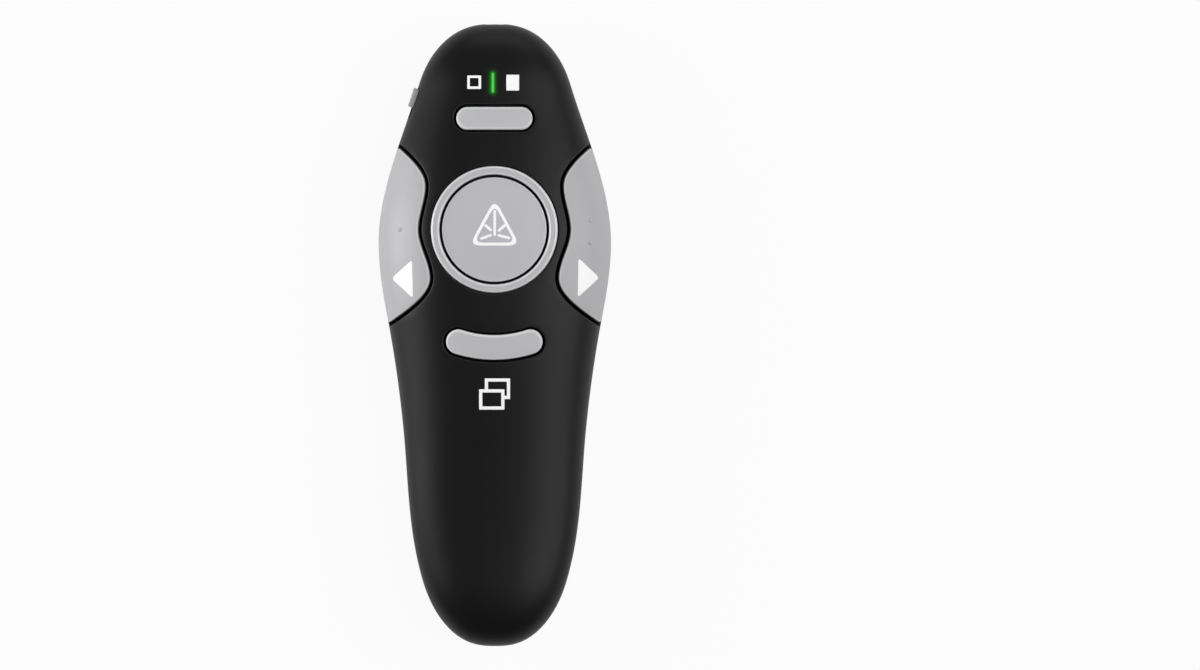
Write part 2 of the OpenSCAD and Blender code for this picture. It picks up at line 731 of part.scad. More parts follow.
module negative_contact() {
    coil_y0 = bay_end + contact_t - coil_wire / 2;
    coil_y1 = cell_front - cell_l - coil_wire - 0.05;
    // Conical spring: rings of a round wire along a narrowing helix
    function coil_point(i, k) =
        let (t = i / coil_steps, a = 360 * coil_turns * t, b = 360 * k / coil_sides,
             r = coil_wide + (coil_narrow - coil_wide) * t + coil_wire * cos(b))
        [cell_x + r * cos(a), coil_y0 + (coil_y1 - coil_y0) * t + coil_wire * sin(b),
         cell_z + r * sin(a)];
    color([0.8, 0.8, 0.82]) {
        box([cell_x - contact_half, bay_end, cell_z - contact_half],
            [cell_x + contact_half, bay_end + contact_t, cell_z + contact_half]);
        polyhedron(
            [for (i = [0 : coil_steps], k = [0 : coil_sides - 1]) coil_point(i, k)],
            concat(
                [for (i = [0 : coil_steps - 1], k = [0 : coil_sides - 1])
                    let (a = i * coil_sides + k, b = i * coil_sides + (k + 1) % coil_sides)
                    each [[a, b + coil_sides, b], [a, a + coil_sides, b + coil_sides]]],
                [[for (k = [0 : coil_sides - 1]) k]],
                [[for (k = [coil_sides - 1 : -1 : 0]) coil_steps * coil_sides + k]]));
    }
}

// Screws -----------------------------------------------------------------------

module pan_screw(head_r, head_h, shank_r, shank_l) {
    slot_w = head_r / 3;
    difference() {
        union() {
            translate([0, 0, -head_h]) cylinder(r = head_r, h = head_h, $fn = fine_fn);
            cylinder(r = shank_r, h = shank_l, $fn = fine_fn);
        }
        for (a = [0, 90]) rotate(a)
            translate([0, 0, -head_h]) cube([1.4 * head_r, slot_w, head_h], center = true);
    }
}
module tail_screw() {
    color([0.8, 0.75, 0.6]) translate([0, tail_screw_y, deck_z])
        pan_screw(tail_head_r, tail_head_h, tail_shank_r, board_z - deck_z);
}
module board_screws() {
    color([0.7, 0.7, 0.72]) for (side = [-1, 1])
        translate([side * board_post[0], board_post[1], board_z])
            pan_screw(board_head_r, board_head_h, board_shank_r, plunger_top - board_z);
}

// Electronics --------------------------------------------------------------------

board_wide = 18.4;
board_neck = 11.8;
board_strip = 7;
switch_places = [
    [0, ring_y], [0, pill_y], [0, ring_y - band_r],
    [-paddle_switch_x, paddle_switch_y], [paddle_switch_x, paddle_switch_y]
];
module circuit_board() {
    nose_y = bar_y + 2.2;
    neck_y = pivot_y - 4;
    hip_y = 2;
    strip_y = ring_y - band_r - switch_w / 2 - 1;
    color([0.1, 0.35, 0.2]) translate([0, 0, board_z]) linear_extrude(board_t) difference() {
        polygon([
            [board_strip, strip_y], [board_strip, hip_y - 4], [board_wide - 2, hip_y],
            [board_wide, hip_y + 3], [board_wide, neck_y - 3], [board_neck, neck_y],
            [board_neck, power_y - 3], [board_neck - 4, nose_y],
            [4 - board_neck, nose_y], [-board_neck, power_y - 3],
            [-board_neck, neck_y], [-board_wide, neck_y - 3], [-board_wide, hip_y + 3],
            [2 - board_wide, hip_y], [-board_strip, hip_y - 4], [-board_strip, strip_y]
        ]);
        translate(front_post) circle(r = front_post_r + 0.3, $fn = fine_fn);
        for (side = [-1, 1]) translate([side * board_post[0], board_post[1]])
            circle(r = board_shank_r, $fn = fine_fn);
    }
}
module press_switch() {
    difference() {
        box([-switch_w / 2, -switch_w / 2, 0], [switch_w / 2, switch_w / 2, switch_h]);
        translate([0, 0, switch_h - plunger_in - button_travel - slide_gap])
            cylinder(r = plunger_r + plunger_fit, h = switch_h, $fn = fine_fn);
    }
}
module press_switches() {
    color([0.25, 0.25, 0.27]) for (p = switch_places)
        translate([p[0], p[1], board_top]) press_switch();
}
module plunger(i) {
    color([0.1, 0.1, 0.1])
        translate([switch_places[i][0], switch_places[i][1], switch_top - plunger_in])
            cylinder(r = plunger_r, h = plunger_in + plunger_up, $fn = fine_fn);
}
module laser_plunger() { plunger(0); }
module screen_plunger() { plunger(1); }
module window_plunger() { plunger(2); }
module back_plunger() { plunger(3); }
module forward_plunger() { plunger(4); }
module chip(place, size) {
    translate([place[0] - size[0] / 2, place[1] - size[1] / 2, board_top]) cube(size);
}
radio_place = [-8, 12];
radio_size = [5, 5, 0.9];
module radio_chip() {
    color([0.08, 0.08, 0.09]) chip(radio_place, radio_size);
}
crystal_size = [3.2, 2.5, 0.8];
crystal_gap = 2.75;
module crystal() {
    color([0.75, 0.75, 0.77])
        chip(radio_place - [0, radio_size[1] / 2 + crystal_gap + crystal_size[1] / 2], crystal_size);
}
led_size = [0.8, 1.6, 0.8];
module status_led() {
    color([0.9, 0.95, 0.85]) chip([-bar_w / 2, bar_y], led_size);
}
module light_pipe() {
    color([0.3, 0.9, 0.3]) intersection() {
        crown_block(bar_w, bar_y - bar_l / 2, bar_y + bar_l / 2, 0, board_top + led_size[2], 2, 4);
        box([-bar_w, bar_y - bar_l / 2, 0], [0, bar_y + bar_l / 2, 2 * seam_z]);
    }
}
module laser_barrel() {
    lens_r = laser_r - 1;
    color([0.75, 0.6, 0.3]) translate([0, nose_c, seam_z]) rotate([-90, 0, 0]) difference() {
        cylinder(r = laser_r, h = laser_l, $fn = round_fn);
        translate([0, 0, laser_l - 2]) cylinder(r = lens_r, h = 3, $fn = fine_fn);
    }
}
module laser_lens() {
    lens_r = laser_r - 1;
    color([0.7, 0.8, 0.9]) translate([0, nose_c + laser_l - 2, seam_z]) rotate([-90, 0, 0])
        cylinder(r = lens_r, h = 1.2, $fn = fine_fn);
}
module nose_window() {
    recess = 0.4;
    color([0.35, 0.05, 0.06]) translate([0, body_l / 2 - wall, seam_z]) rotate([-90, 0, 0])
        cylinder(r = window_r, h = wall - recess, $fn = fine_fn);
}
module slide_switch() {
    room = knob_travel + lever_w + 0.4;
    color([0.75, 0.75, 0.77]) on_side() difference() {
        box([case_in, -knob_travel / 2 - case_l / 2, -case_h / 2],
            [case_in + case_depth, case_l / 2 - knob_travel / 2, case_h / 2]);
        box([case_in - over, -knob_travel / 2 - room / 2, -lever_h / 2 - knob_fit],
            [case_in + 2, room / 2 - knob_travel / 2, lever_h / 2 + knob_fit]);
    }
}
module switch_lever() {
    color([0.08, 0.08, 0.08]) on_side()
        box([lever_in, -lever_w / 2, -lever_h / 2], [case_in + 1.8, lever_w / 2, lever_h / 2]);
}
module power_knob() {
    plate_half = knob_l / 2 + knob_travel + knob_fit;
    plate_up = knob_h / 2 + 2 * knob_fit;
    color([0.72, 0.72, 0.74]) on_side() difference() {
        union() {
            box([-knob_proud, -knob_l / 2, -knob_h / 2], [knob_plate[1], knob_l / 2, knob_h / 2]);
            box([knob_plate[0], -plate_half, -plate_up], [knob_plate[1], plate_half, plate_up]);
        }
        box([lever_in, -lever_w / 2, -lever_h / 2], [case_in, lever_w / 2, lever_h / 2]);
        // Grip grooves
        for (i = [-1, 0, 1]) translate([-knob_proud, i, 0])
            cylinder(r = 0.22, h = knob_h + over, center = true, $fn = fine_fn);
    }
}

// Buttons ------------------------------------------------------------------------

module laser_ring() {
    color([0.75, 0.75, 0.77]) translate([0, ring_y, 0]) rotate_extrude($fn = 2 * round_fn)
        polygon([
            [ring_bore, ring_low], [ring_r + ring_flange, ring_low],
            [ring_r + ring_flange, ring_low + ring_flange_t], [ring_r, ring_low + ring_flange_t],
            [ring_r, ring_top - ring_chamfer], [ring_r - ring_chamfer, ring_top],
            [ring_in + ring_chamfer, ring_top], [ring_in, ring_top - ring_chamfer],
            [ring_in, ring_lip_z], [ring_bore, ring_lip_z]
        ]);
}
module laser_button() {
    under = cap_top - button_wall;
    face_r = cap_r - 3 * cap_edge;
    face_steps = 5;
    color([0.72, 0.72, 0.76]) translate([0, ring_y, 0]) rotate_extrude($fn = 2 * round_fn)
        polygon(concat(
            [[0, plunger_top], [stem_r, plunger_top], [stem_r, under],
             [cap_r - button_wall, under], [cap_r - button_wall, cap_flange_z],
             [cap_flange_r, cap_flange_z], [cap_flange_r, cap_flange_z + cap_flange_t],
             [cap_r, cap_flange_z + cap_flange_t], [cap_r, cap_top - cap_edge],
             [cap_r - cap_edge, cap_top]],
            [for (k = [face_steps : -1 : 0]) let (t = k / face_steps)
                [t * face_r, cap_top + dome * (1 - t * t)]]));
}
pill_under = plunger_top;
pill_tab = 0.9;
module screen_button() {
    reach = pill_l / 2;
    tab_top = top_z(reach + pill_tab, pill_y + 1, wall) - 0.15;
    color([0.72, 0.72, 0.75]) {
        intersection() {
            crown_block(reach, pill_y - pill_w / 2, pill_y + pill_w / 2, button_proud, pill_under);
            translate([0, 0, pill_under]) linear_extrude(crown_h) pill_area(0);
        }
        // Hooks at both ends, under the edge of the opening
        both_sides() {
            box([reach - 2.2, pill_y - 1, tab_top - 0.7], [reach + pill_tab, pill_y + 1, tab_top]);
            box([reach - 2.2, pill_y - 1, tab_top - 0.7], [reach - 0.6, pill_y + 1, pill_under + 0.3]);
        }
    }
}
module window_button() {
    low_y = ring_y - band_r - band_w / 2;
    high_y = ring_y - band_r * cos(band_angle) + band_w / 2;
    x_half = band_r * sin(band_angle) + band_w / 2;
    flange = 0.7;
    flange_top = top_z(x_half + flange, low_y, wall) - 0.15;
    color([0.72, 0.72, 0.75]) {
        intersection() {
            crown_block(x_half, low_y, high_y, button_proud, flange_top - flange);
            translate([0, 0, flange_top - flange]) linear_extrude(crown_h) band_area(0);
        }
        translate([0, 0, flange_top - flange]) linear_extrude(flange)
            band_area(button_gap + flange);
        translate([0, ring_y - band_r, plunger_top])
            cylinder(r = stem_r, h = flange_top - plunger_top, $fn = fine_fn);
    }
}

// Right paddle: the left one is its mirror image
module paddle() {
    stem_top = top_z(paddle_switch_x, paddle_switch_y, paddle_t / 2);
    dot_h = paddle_t / 2;
    dot_top = top_z(dot_x - dot_r, dot_y) + 0.1;
    difference() {
        union() {
            intersection() {
                half_shell(0, paddle_t, true, place_before(paddle_low), place_before(paddle_high) + 1);
                translate([0, 0, seam_z + paddle_lift]) linear_extrude(crown_h) paddle_area(0);
            }
            // Ear on the stub
            translate([ear_x, pivot_y, pivot_z]) rotate([0, 90, 0])
                cylinder(r = ear_r, h = ear_t, $fn = fine_fn);
            box([ear_x, pivot_y - ear_r, pivot_z],
                [ear_x + ear_t, pivot_y + ear_r, top_z(ear_x + ear_t, pivot_y, paddle_t / 2)]);
            // Stem over the switch
            translate([paddle_switch_x, paddle_switch_y, plunger_top])
                cylinder(r = stem_r, h = stem_top - plunger_top, $fn = fine_fn);
            // Tactile dot
            translate([dot_x, dot_y, dot_top - dot_h])
                cylinder(r = dot_r, h = dot_h, $fn = fine_fn / 2);
        }
        translate([ear_x - over, pivot_y, pivot_z]) rotate([0, 90, 0])
            cylinder(r = pivot_r + pivot_fit, h = ear_t + 2 * over, $fn = fine_fn);
    }
}
module forward_paddle() {
    color([0.76, 0.76, 0.78]) paddle();
}
module back_paddle() {
    color([0.76, 0.76, 0.78]) mirror([1, 0, 0]) paddle();
}

// Cover and latch -------------------------------------------------------------------

lug_places = [-46, -26, -6];
lug_l = 4;
lug_in = 1.2;
cover_lug_z = rail_z + rail_t + 0.3;
pad_back = cover_front - 0.8 - pad_l;
pad_recess = 1.1;
pad_gap = 0.2;
neck_half = tongue_w / 2;
ridge_pitch = 2;
ridge_w = 0.7;
ridge_h = 0.4;
ridge_half = 3.5;
thumb_ridge_y = pad_back - latch_travel - thumb_gap - 4.5;
module battery_cover() {
    color([0.12, 0.12, 0.13]) difference() {
        union() {
            intersection() {
                half_shell(0, wall, false, 0, place_before(cover_front) + 1);
                translate([0, 0, -over]) linear_extrude(rim_top + over) behind_edge(0);
            }
            // Lugs over the tray's rail
            both_sides() for (y = lug_places)
                box([half_w(y, wall) - lug_in, y - lug_l / 2, cover_lug_z],
                    [half_w(y - lug_l / 2, wall / 2), y + lug_l / 2, rim_top]);
        }
        // Thumb recess with its ridges left standing
        difference() {
            translate([0, pad_back - latch_travel - thumb_gap - thumb_l / 2, 0])
                scale([thumb_w / thumb_l, 1, 1]) translate([0, 0, -over])
                    cylinder(r1 = thumb_l / 2 + over, r2 = thumb_l / 2 - thumb_d,
                        h = thumb_d + over, $fn = round_fn);
            for (i = [0 : 2]) translate([0, thumb_ridge_y - i * ridge_pitch, 0])
                box([-ridge_half, -ridge_w / 2, thumb_d - ridge_h],
                    [ridge_half, ridge_w / 2, thumb_d + over]);
        }
        // Recess of the ridged pad, and slot of the latch's neck
        box([-pad_w / 2 - pad_gap, pad_back - latch_travel - pad_gap, -over],
            [pad_w / 2 + pad_gap, pad_back + pad_l + pad_gap, pad_recess]);
        box([-neck_half - pad_gap, pad_back + 1 - latch_travel - pad_gap, -over],
            [neck_half + pad_gap, pad_back + pad_l - 1 + pad_gap, wall + over]);
    }
}
module cover_latch() {
    pad_z = 0.15;
    plate_half = pad_w / 2;
    color([0.75, 0.76, 0.78]) difference() {
        union() {
            // Ridged pad outside, neck through the cover, plate and tongue inside
            box([-pad_w / 2, pad_back, pad_z], [pad_w / 2, pad_back + pad_l, pad_recess - slide_gap]);
            box([-neck_half, pad_back + 1, pad_z],
                [neck_half, pad_back + pad_l - 1, latch_z + latch_t]);
            box([-plate_half, pad_back - 1, latch_z],
                [plate_half, pad_back + pad_l - 0.5, latch_z + latch_t]);
            box([-tongue_w / 2, pad_back, latch_z],
                [tongue_w / 2, cover_front + tongue_reach, latch_z + latch_t]);
        }
        for (i = [0.5 : 1 : pad_l]) translate([0, pad_back + i, pad_z]) rotate([0, 90, 0])
            cylinder(r = 0.25, h = pad_w + over, center = true, $fn = fine_fn);
    }
}

// Receiver ----------------------------------------------------------------------------

module in_bay() {
    translate([receiver_x, 0, receiver_z]) children();
}
window_w = 2.4;
window_l = 2.1;
window_apart = 6;
window_back = 6.3;
notch_w = 0.9;
notch_l = 1.4;
notch_apart = 4.9;
plug_sunk = 3;
module plug_shell() {
    inner_w = plug_w - 2 * plug_sheet;
    inner_t = plug_t - 2 * plug_sheet;
    color([0.8, 0.8, 0.82]) in_bay() difference() {
        box([-plug_w / 2, grip_y + grip_l - plug_sunk, -plug_t / 2],
            [plug_w / 2, plug_y, plug_t / 2]);
        box([-inner_w / 2, grip_y + grip_l - plug_sunk - over, -inner_t / 2],
            [inner_w / 2, plug_y + over, inner_t / 2]);
        for (side = [-1, 1]) {
            box([side * window_apart / 2 - window_w / 2, plug_y - window_back - window_l / 2, -plug_t],
                [side * window_apart / 2 + window_w / 2, plug_y - window_back + window_l / 2, plug_t]);
            box([(side * notch_apart - notch_w) / 2, grip_y + grip_l - 0.5, -plug_t],
                [(side * notch_apart + notch_w) / 2, grip_y + grip_l + notch_l, 0]);
        }
    }
}
tooth_n = 5;
module receiver_grip() {
    pitch = grip_l / tooth_n;
    color([0.09, 0.09, 0.1]) in_bay() difference() {
        box([-grip_w / 2, grip_y, -grip_t / 2], [grip_w / 2, grip_y + grip_l, grip_t / 2]);
        // Socket of the metal shell
        box([-plug_w / 2, grip_y + grip_l - plug_sunk, -plug_t / 2],
            [plug_w / 2, plug_y, plug_t / 2]);
        // Notches between the teeth on both sides, and a fine groove near each end
        for (side = [-1, 1], i = [1 : tooth_n - 1])
            translate([side * grip_w / 2, grip_y + i * pitch, 0])
                cylinder(r = 0.35, h = grip_t + over, center = true, $fn = fine_fn);
        for (face = [-1, 1], y = [grip_y + 0.9, grip_y + grip_l - 1.6])
            box([-grip_w / 2 + 0.9, y, face * grip_t / 2 - 0.15],
                [grip_w / 2 - 0.9, y + 0.25, face * grip_t / 2 + 0.15]);
    }
}
tongue_t = 1.9;
tongue_short = 0.6;
module plug_tongue() {
    half = plug_w / 2 - plug_sheet;
    top = plug_t / 2 - plug_sheet;
    color([0.9, 0.9, 0.9]) in_bay()
        box([-half, grip_y + grip_l - plug_sunk, top - tongue_t],
            [half, plug_y - tongue_short, top]);
}
strip_places = [-3.5, -1, 1, 3.5];
strip_w = 1;
strip_t = 0.2;
strip_short = 1.6;
module plug_contacts() {
    under = plug_t / 2 - plug_sheet - tongue_t;
    color([0.85, 0.7, 0.35]) in_bay() for (x = strip_places)
        box([x - strip_w / 2, grip_y + grip_l, under - strip_t],
            [x + strip_w / 2, plug_y - strip_short, under]);
}

top_shell();
bottom_shell();
battery_tray();
laser_ring();
circuit_board();
press_switches();
radio_chip();
crystal();
status_led();
light_pipe();
laser_barrel();
laser_lens();
nose_window();
slide_switch();
battery_cell();
positive_contact();
negative_contact();
tail_screw();
board_screws();
laser_button();
laser_plunger();
screen_button();
screen_plunger();
window_button();
window_plunger();
back_paddle();
back_plunger();
forward_paddle();
forward_plunger();
power_knob();
switch_lever();
battery_cover();
cover_latch();
plug_shell();
receiver_grip();
plug_tongue();
plug_contacts();
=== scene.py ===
# %% [markdown]
# # A wireless presentation clicker
# The object is a handheld remote of soft black plastic, with light grey keys, a silver ring, and a
# battery cover on its back. It lies on its back here: +Z points out of the face with the keys, +Y
# to the nose and +X to the right. The solid model from the CAD program is loaded first. It fixes
# the size and the place of every piece, and says which pieces move together.

import bmesh
import bpy
import numpy as np
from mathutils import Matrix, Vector
from mathutils.geometry import delaunay_2d_cdt


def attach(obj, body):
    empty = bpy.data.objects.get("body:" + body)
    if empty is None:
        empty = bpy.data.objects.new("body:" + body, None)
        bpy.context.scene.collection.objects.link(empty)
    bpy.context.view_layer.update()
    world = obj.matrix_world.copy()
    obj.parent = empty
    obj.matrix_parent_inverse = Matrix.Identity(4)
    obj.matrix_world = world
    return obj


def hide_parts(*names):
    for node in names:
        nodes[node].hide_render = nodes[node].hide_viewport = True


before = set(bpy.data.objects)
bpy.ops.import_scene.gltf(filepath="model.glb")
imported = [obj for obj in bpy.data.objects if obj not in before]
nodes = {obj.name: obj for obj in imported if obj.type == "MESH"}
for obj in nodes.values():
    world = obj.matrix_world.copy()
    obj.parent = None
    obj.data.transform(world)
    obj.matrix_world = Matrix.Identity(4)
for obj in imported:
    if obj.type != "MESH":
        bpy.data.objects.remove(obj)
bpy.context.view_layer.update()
MM = 0.001

# %% [markdown]
# ## The form of the housing
# The whole body is one double-curved form. Its plan is a smooth curve through a few widths, its
# upper and lower profiles are smooth curves through a few heights, and each section is a
# superellipse, which is fuller than an ellipse. Nose and tail shrink the section along a quarter
# of a superellipse too. A sculpted mesh could look the same, but a formula gives every piece that
# shares the skin, such as the paddles and the cover, exactly the same curve.

# %% Curves through knots
NOSE_C, TAIL_C, RING_Y = 51.0, -48.0, 21.6
# Each knot is (place along the body, value there, slope there), in millimetres
WIDTHS = [(TAIL_C, 15.5, 0.25), (-24, 18.4, 0.075), (4.3, 22.2, 0.19), (19, 23.9, 0), (NOSE_C, 15.75, -0.31)]
CROWNS = [(TAIL_C, 8.4, 0.03), (19, 14.0, 0), (NOSE_C, 9.8, -0.14)]
BELLIES = [(TAIL_C, 12.1, 0), (19, 12.1, 0), (NOSE_C, 7.8, -0.1)]


def along(knots, y):
    """Cubic Hermite curve through knots (place, value, slope); a straight line beyond both ends."""
    k = np.asarray(knots, float)
    y = np.asarray(y, float)
    i = np.clip(np.searchsorted(k[:, 0], y) - 1, 0, len(k) - 2)
    a, b = k[i], k[i + 1]
    h = b[..., 0] - a[..., 0]
    t = np.clip((y - a[..., 0]) / h, 0, 1)
    curve = (a[..., 1] * (2 * t**3 - 3 * t**2 + 1) + b[..., 1] * (3 * t**2 - 2 * t**3)
             + h * (a[..., 2] * (t**3 - 2 * t**2 + t) + b[..., 2] * (t**3 - t**2)))
    return curve + np.minimum(y - k[0, 0], 0) * k[0, 2] + np.maximum(y - k[-1, 0], 0) * k[-1, 2]


for what, knots in (("half the width", WIDTHS), ("crown's height", CROWNS), ("belly's depth", BELLIES)):
    print(what, "at the ring", round(float(along(knots, RING_Y)), 2), "mm")

# %% [markdown]
# ## A skin with two parameters
# A point of the skin is named by u, the way round the section, and v, the way along the body.
# Both are measured in millimetres, roughly as they run over the surface, so a drawing in the
# (u, v) plane is a slightly stretched drawing on the housing. That is handy: an opening is drawn
# there as a closed line. The same formula with a depth d gives the inner side of the wall.

# %% The skin and its inverse
SEAM, GIRTH, BELLY_ROUND = 11.5, 16.0, 0.16
NOSE_ROUND, TAIL_ROUND = 13.0, 16.0
END_POWER, CROWN_POWER, BELLY_POWER = 2.6, 2.6, 2.4


class Skin:
    """One half of the body, upper (+1) or lower (-1), with depth d counted inwards."""

    def __init__(self, half):
        self.half = half
        self.power = CROWN_POWER if half > 0 else BELLY_POWER
        self.heights = CROWNS if half > 0 else BELLIES

    def sizes(self, y, d):
        """Half the width, and the height from the seam, of the section at y."""
        return along(WIDTHS, y) - d, along(self.heights, y) - d

    def place(self, u, v, d=0.0):
        """x = w c^(2/p), z = seam + h s^(2/p), with c and s the cosine and sine of the angle u / girth,
        and both half-axes w and h scaled down along the rounded ends."""
        angle = np.pi / 2 - self.half * u / GIRTH
        fore = np.clip((v - NOSE_C) / NOSE_ROUND, 0, np.pi / 2)
        aft = np.clip((TAIL_C - v) / TAIL_ROUND, 0, np.pi / 2)
        grow = 2 / END_POWER
        left = np.cos(np.clip(fore + aft, 0, np.pi / 2 - 1e-9)) ** grow
        y = (np.clip(v, TAIL_C, NOSE_C) + (NOSE_ROUND - d) * np.sin(fore) ** grow
             - (TAIL_ROUND - d) * np.sin(aft) ** grow)
        w, h = self.sizes(y, d)
        c, s = np.cos(angle), np.clip(np.sin(angle), 0, 1)
        x = w * left * np.sign(c) * np.abs(c) ** (2 / self.power)
        z = SEAM + self.half * h * left * s ** (2 / self.power)
        if self.half < 0:
            # The belly is flattened where the body rests; a soft maximum rounds that edge
            z = 0.5 * (z + d + np.sqrt((z - d) ** 2 + BELLY_ROUND))
        return np.stack(np.broadcast_arrays(x, y, z), -1)

    def find(self, p, d=0.0):
        """The (u, v) of points on or near the skin."""
        x, y, z = p[..., 0], p[..., 1], p[..., 2]
        w, h = self.sizes(y, d)
        q = self.power
        rx, rz = np.abs(x) / w, np.clip(self.half * (z - SEAM), 0, None) / h
        size = np.clip((rx**q + rz**q) ** (1 / q), 0, 1)
        fore = np.clip((y - NOSE_C) / (NOSE_ROUND - d), 0, 1)
        aft = np.clip((TAIL_C - y) / (TAIL_ROUND - d), 0, 1)
        turn = np.arccos(size ** (END_POWER / 2))
        fore_turn = np.where(fore > 0.8, turn, np.arcsin(fore ** (END_POWER / 2)))
        aft_turn = np.where(aft > 0.8, turn, np.arcsin(aft ** (END_POWER / 2)))
        v = (np.clip(y, TAIL_C, NOSE_C) + NOSE_ROUND * np.where(fore > 0, fore_turn, 0)
             - TAIL_ROUND * np.where(aft > 0, aft_turn, 0))
        angle = np.arctan2(rz ** (q / 2), np.sign(x) * rx ** (q / 2))
        return self.half * (np.pi / 2 - angle) * GIRTH, v

    def over(self, plan):
        """Points of the skin straight above or below points (x, y) of the plan."""
        x, y = plan[..., 0], plan[..., 1]
        fore = np.clip((y - NOSE_C) / NOSE_ROUND, 0, 1)
        aft = np.clip((TAIL_C - y) / TAIL_ROUND, 0, 1)
        left = (1 - (fore + aft) ** END_POWER) ** (1 / END_POWER)
        w, _ = self.sizes(y, 0)
        q = self.power
        c = np.clip(np.abs(x) / np.maximum(w * left, 1e-9), 0, 1) ** (q / 2)
        angle = np.arccos(np.sign(x) * c)
        v = (np.clip(y, TAIL_C, NOSE_C) + NOSE_ROUND * np.arcsin(fore ** (END_POWER / 2))
             - TAIL_ROUND * np.arcsin(aft ** (END_POWER / 2)))
        return self.half * (np.pi / 2 - angle) * GIRTH, v


upper, lower = Skin(1), Skin(-1)
spot = upper.place(np.array([5.0]), np.array([20.0]))
print("(u, v) = (5, 20) lies at", np.round(spot[0], 2), "and is found again as",
      np.round(np.stack(upper.find(spot), -1)[0], 3))

# %% [markdown]
# ## Sheets over the plan
# Not every face follows the skin. A deck is flat, a key is domed, and a screw's head has a cross.
# Such a face is a sheet: one height for each point of the plan. It has the same methods as the
# skin, so the tools below work on both. The crown is the upper skin looked at in this way.

# %% Sheets and the crown
class Sheet:
    """A surface given as a height over the plan, height(x, y, d). With side -1 it is the underside of
    a piece: u then runs against X, so that the outer face looks down."""

    def __init__(self, height, side=1):
        self.height, self.side = height, side

    def place(self, u, v, d=0.0):
        """The point (side u, v, height)."""
        x = self.side * np.asarray(u, float)
        return np.stack(np.broadcast_arrays(x, v, self.height(x, v, d)), -1)

    def find(self, p, d=0.0):
        """The (u, v) of a point."""
        return self.side * p[..., 0], p[..., 1]

    over = find


def crown(x, y, d=0.0):
    """Height of the upper skin over the plan."""
    w, h = upper.sizes(y, d)
    fore = np.clip((y - NOSE_C) / (NOSE_ROUND - d), 0, 1)
    left = (1 - fore**END_POWER) ** (1 / END_POWER)
    return SEAM + h * left * (1 - np.clip(np.abs(x) / (w * left), 0, 1) ** CROWN_POWER) ** (1 / CROWN_POWER)


print("crown over the ring", round(float(crown(0, RING_Y)), 2), "mm")

# %% [markdown]
# ## Plates cut from a skin
# Each moulded piece is a plate: an outer face that follows the skin, a rounded lip round every
# opening, a wall through the thickness, and an inner face. A Boolean could cut the openings, but
# it leaves ragged triangles at the edge, which show in a glossy reflection. Here the openings are
# lines in the (u, v) plane, and a triangulation that respects those lines fills the rest, so that
# the lips are clean strips.

# %% Lines round the openings
CORNER_COS = 0.85


def resample(line, step, skin=None):
    """Points at even spacing along a closed line, measured on the skin. A corner is where the cosine
    of the turn is under CORNER_COS, and corners are kept."""
    line = np.asarray(line, float)
    p = skin.place(line[:, 0], line[:, 1]) if skin else line
    keep = np.linalg.norm(np.roll(p, -1, 0) - p, axis=1) > 1e-7
    line, p = line[keep], p[keep]
    seg = np.roll(p, -1, 0) - p
    length = np.linalg.norm(seg, axis=1)
    way = seg / length[:, None]
    corner = np.flatnonzero(np.einsum("ij,ij->i", way, np.roll(way, 1, 0)) < CORNER_COS)
    corner = corner if len(corner) else np.array([0])
    s = np.concatenate([[0], np.cumsum(length)])
    marks = np.append(s[corner], s[corner[0]] + s[-1])
    where = np.concatenate([np.linspace(a, b, max(2, round((b - a) / step)), endpoint=False)
                            for a, b in zip(marks[:-1], marks[1:])]) % s[-1]
    ends = np.vstack([line, line[:1]])
    return np.stack([np.interp(where, s, ends[:, 0]), np.interp(where, s, ends[:, 1])], -1)


def arc(centre, r, a0, a1, n):
    """Points of an arc of radius r, from angle a0 to a1 in degrees."""
    a = np.radians(np.linspace(a0, a1, n))
    return np.stack([centre[0] + r * np.cos(a), centre[1] + r * np.sin(a)], -1)


def area(loop):
    """Signed area: half the sum of the cross products of neighbouring points."""
    x, y = loop[:, 0], loop[:, 1]
    return 0.5 * np.sum(x * np.roll(y, -1) - y * np.roll(x, -1))


def inside(loop, p):
    """Whether points lie in a closed line: the ray to the right crosses it an odd number of times."""
    a, b = loop, np.roll(loop, -1, axis=0)
    ay, by, py = a[:, 1][None], b[:, 1][None], p[:, 1][:, None]
    spans = (ay > py) != (by > py)
    with np.errstate(divide="ignore", invalid="ignore"):
        cut = a[:, 0][None] + (py - ay) / (by - ay) * (b[:, 0] - a[:, 0])[None]
    return np.sum(spans & (p[:, 0][:, None] < cut), axis=1) % 2 == 1


def thin(p, loops, gap, share=4000):
    """The points that keep a gap to every line's points, looked at a share at a time to save memory."""
    near = np.vstack(loops)
    keep = np.ones(len(p), bool)
    for start in range(0, len(p), share):
        part = p[start:start + share]
        d2 = ((part[:, None, :] - near[None]) ** 2).sum(-1)
        keep[start:start + share] = d2.min(1) > gap * gap
    return p[keep]


print("area of a circle of radius 1 from 60 points:", round(float(area(arc((0, 0), 1, 0, 360, 61)[:-1])), 3))

# %% [markdown]
# ## From lines to a face with lips
# A plate is built in three steps. First each line gets a lip, a quarter circle that turns the face
# over into the wall. Then the face inside the lips is filled with triangles, from the lines' own
# points and an even grid between them. The lip is worked out along the skin's own normal, so it's
# as wide on the crown as on the shoulder. A Bevel modifier could round the edges too, but on such
# long curved edges its width wanders.

# %% Lips and filled faces
MITRE_LEAST, GRID_CLEAR = 0.35, 0.55


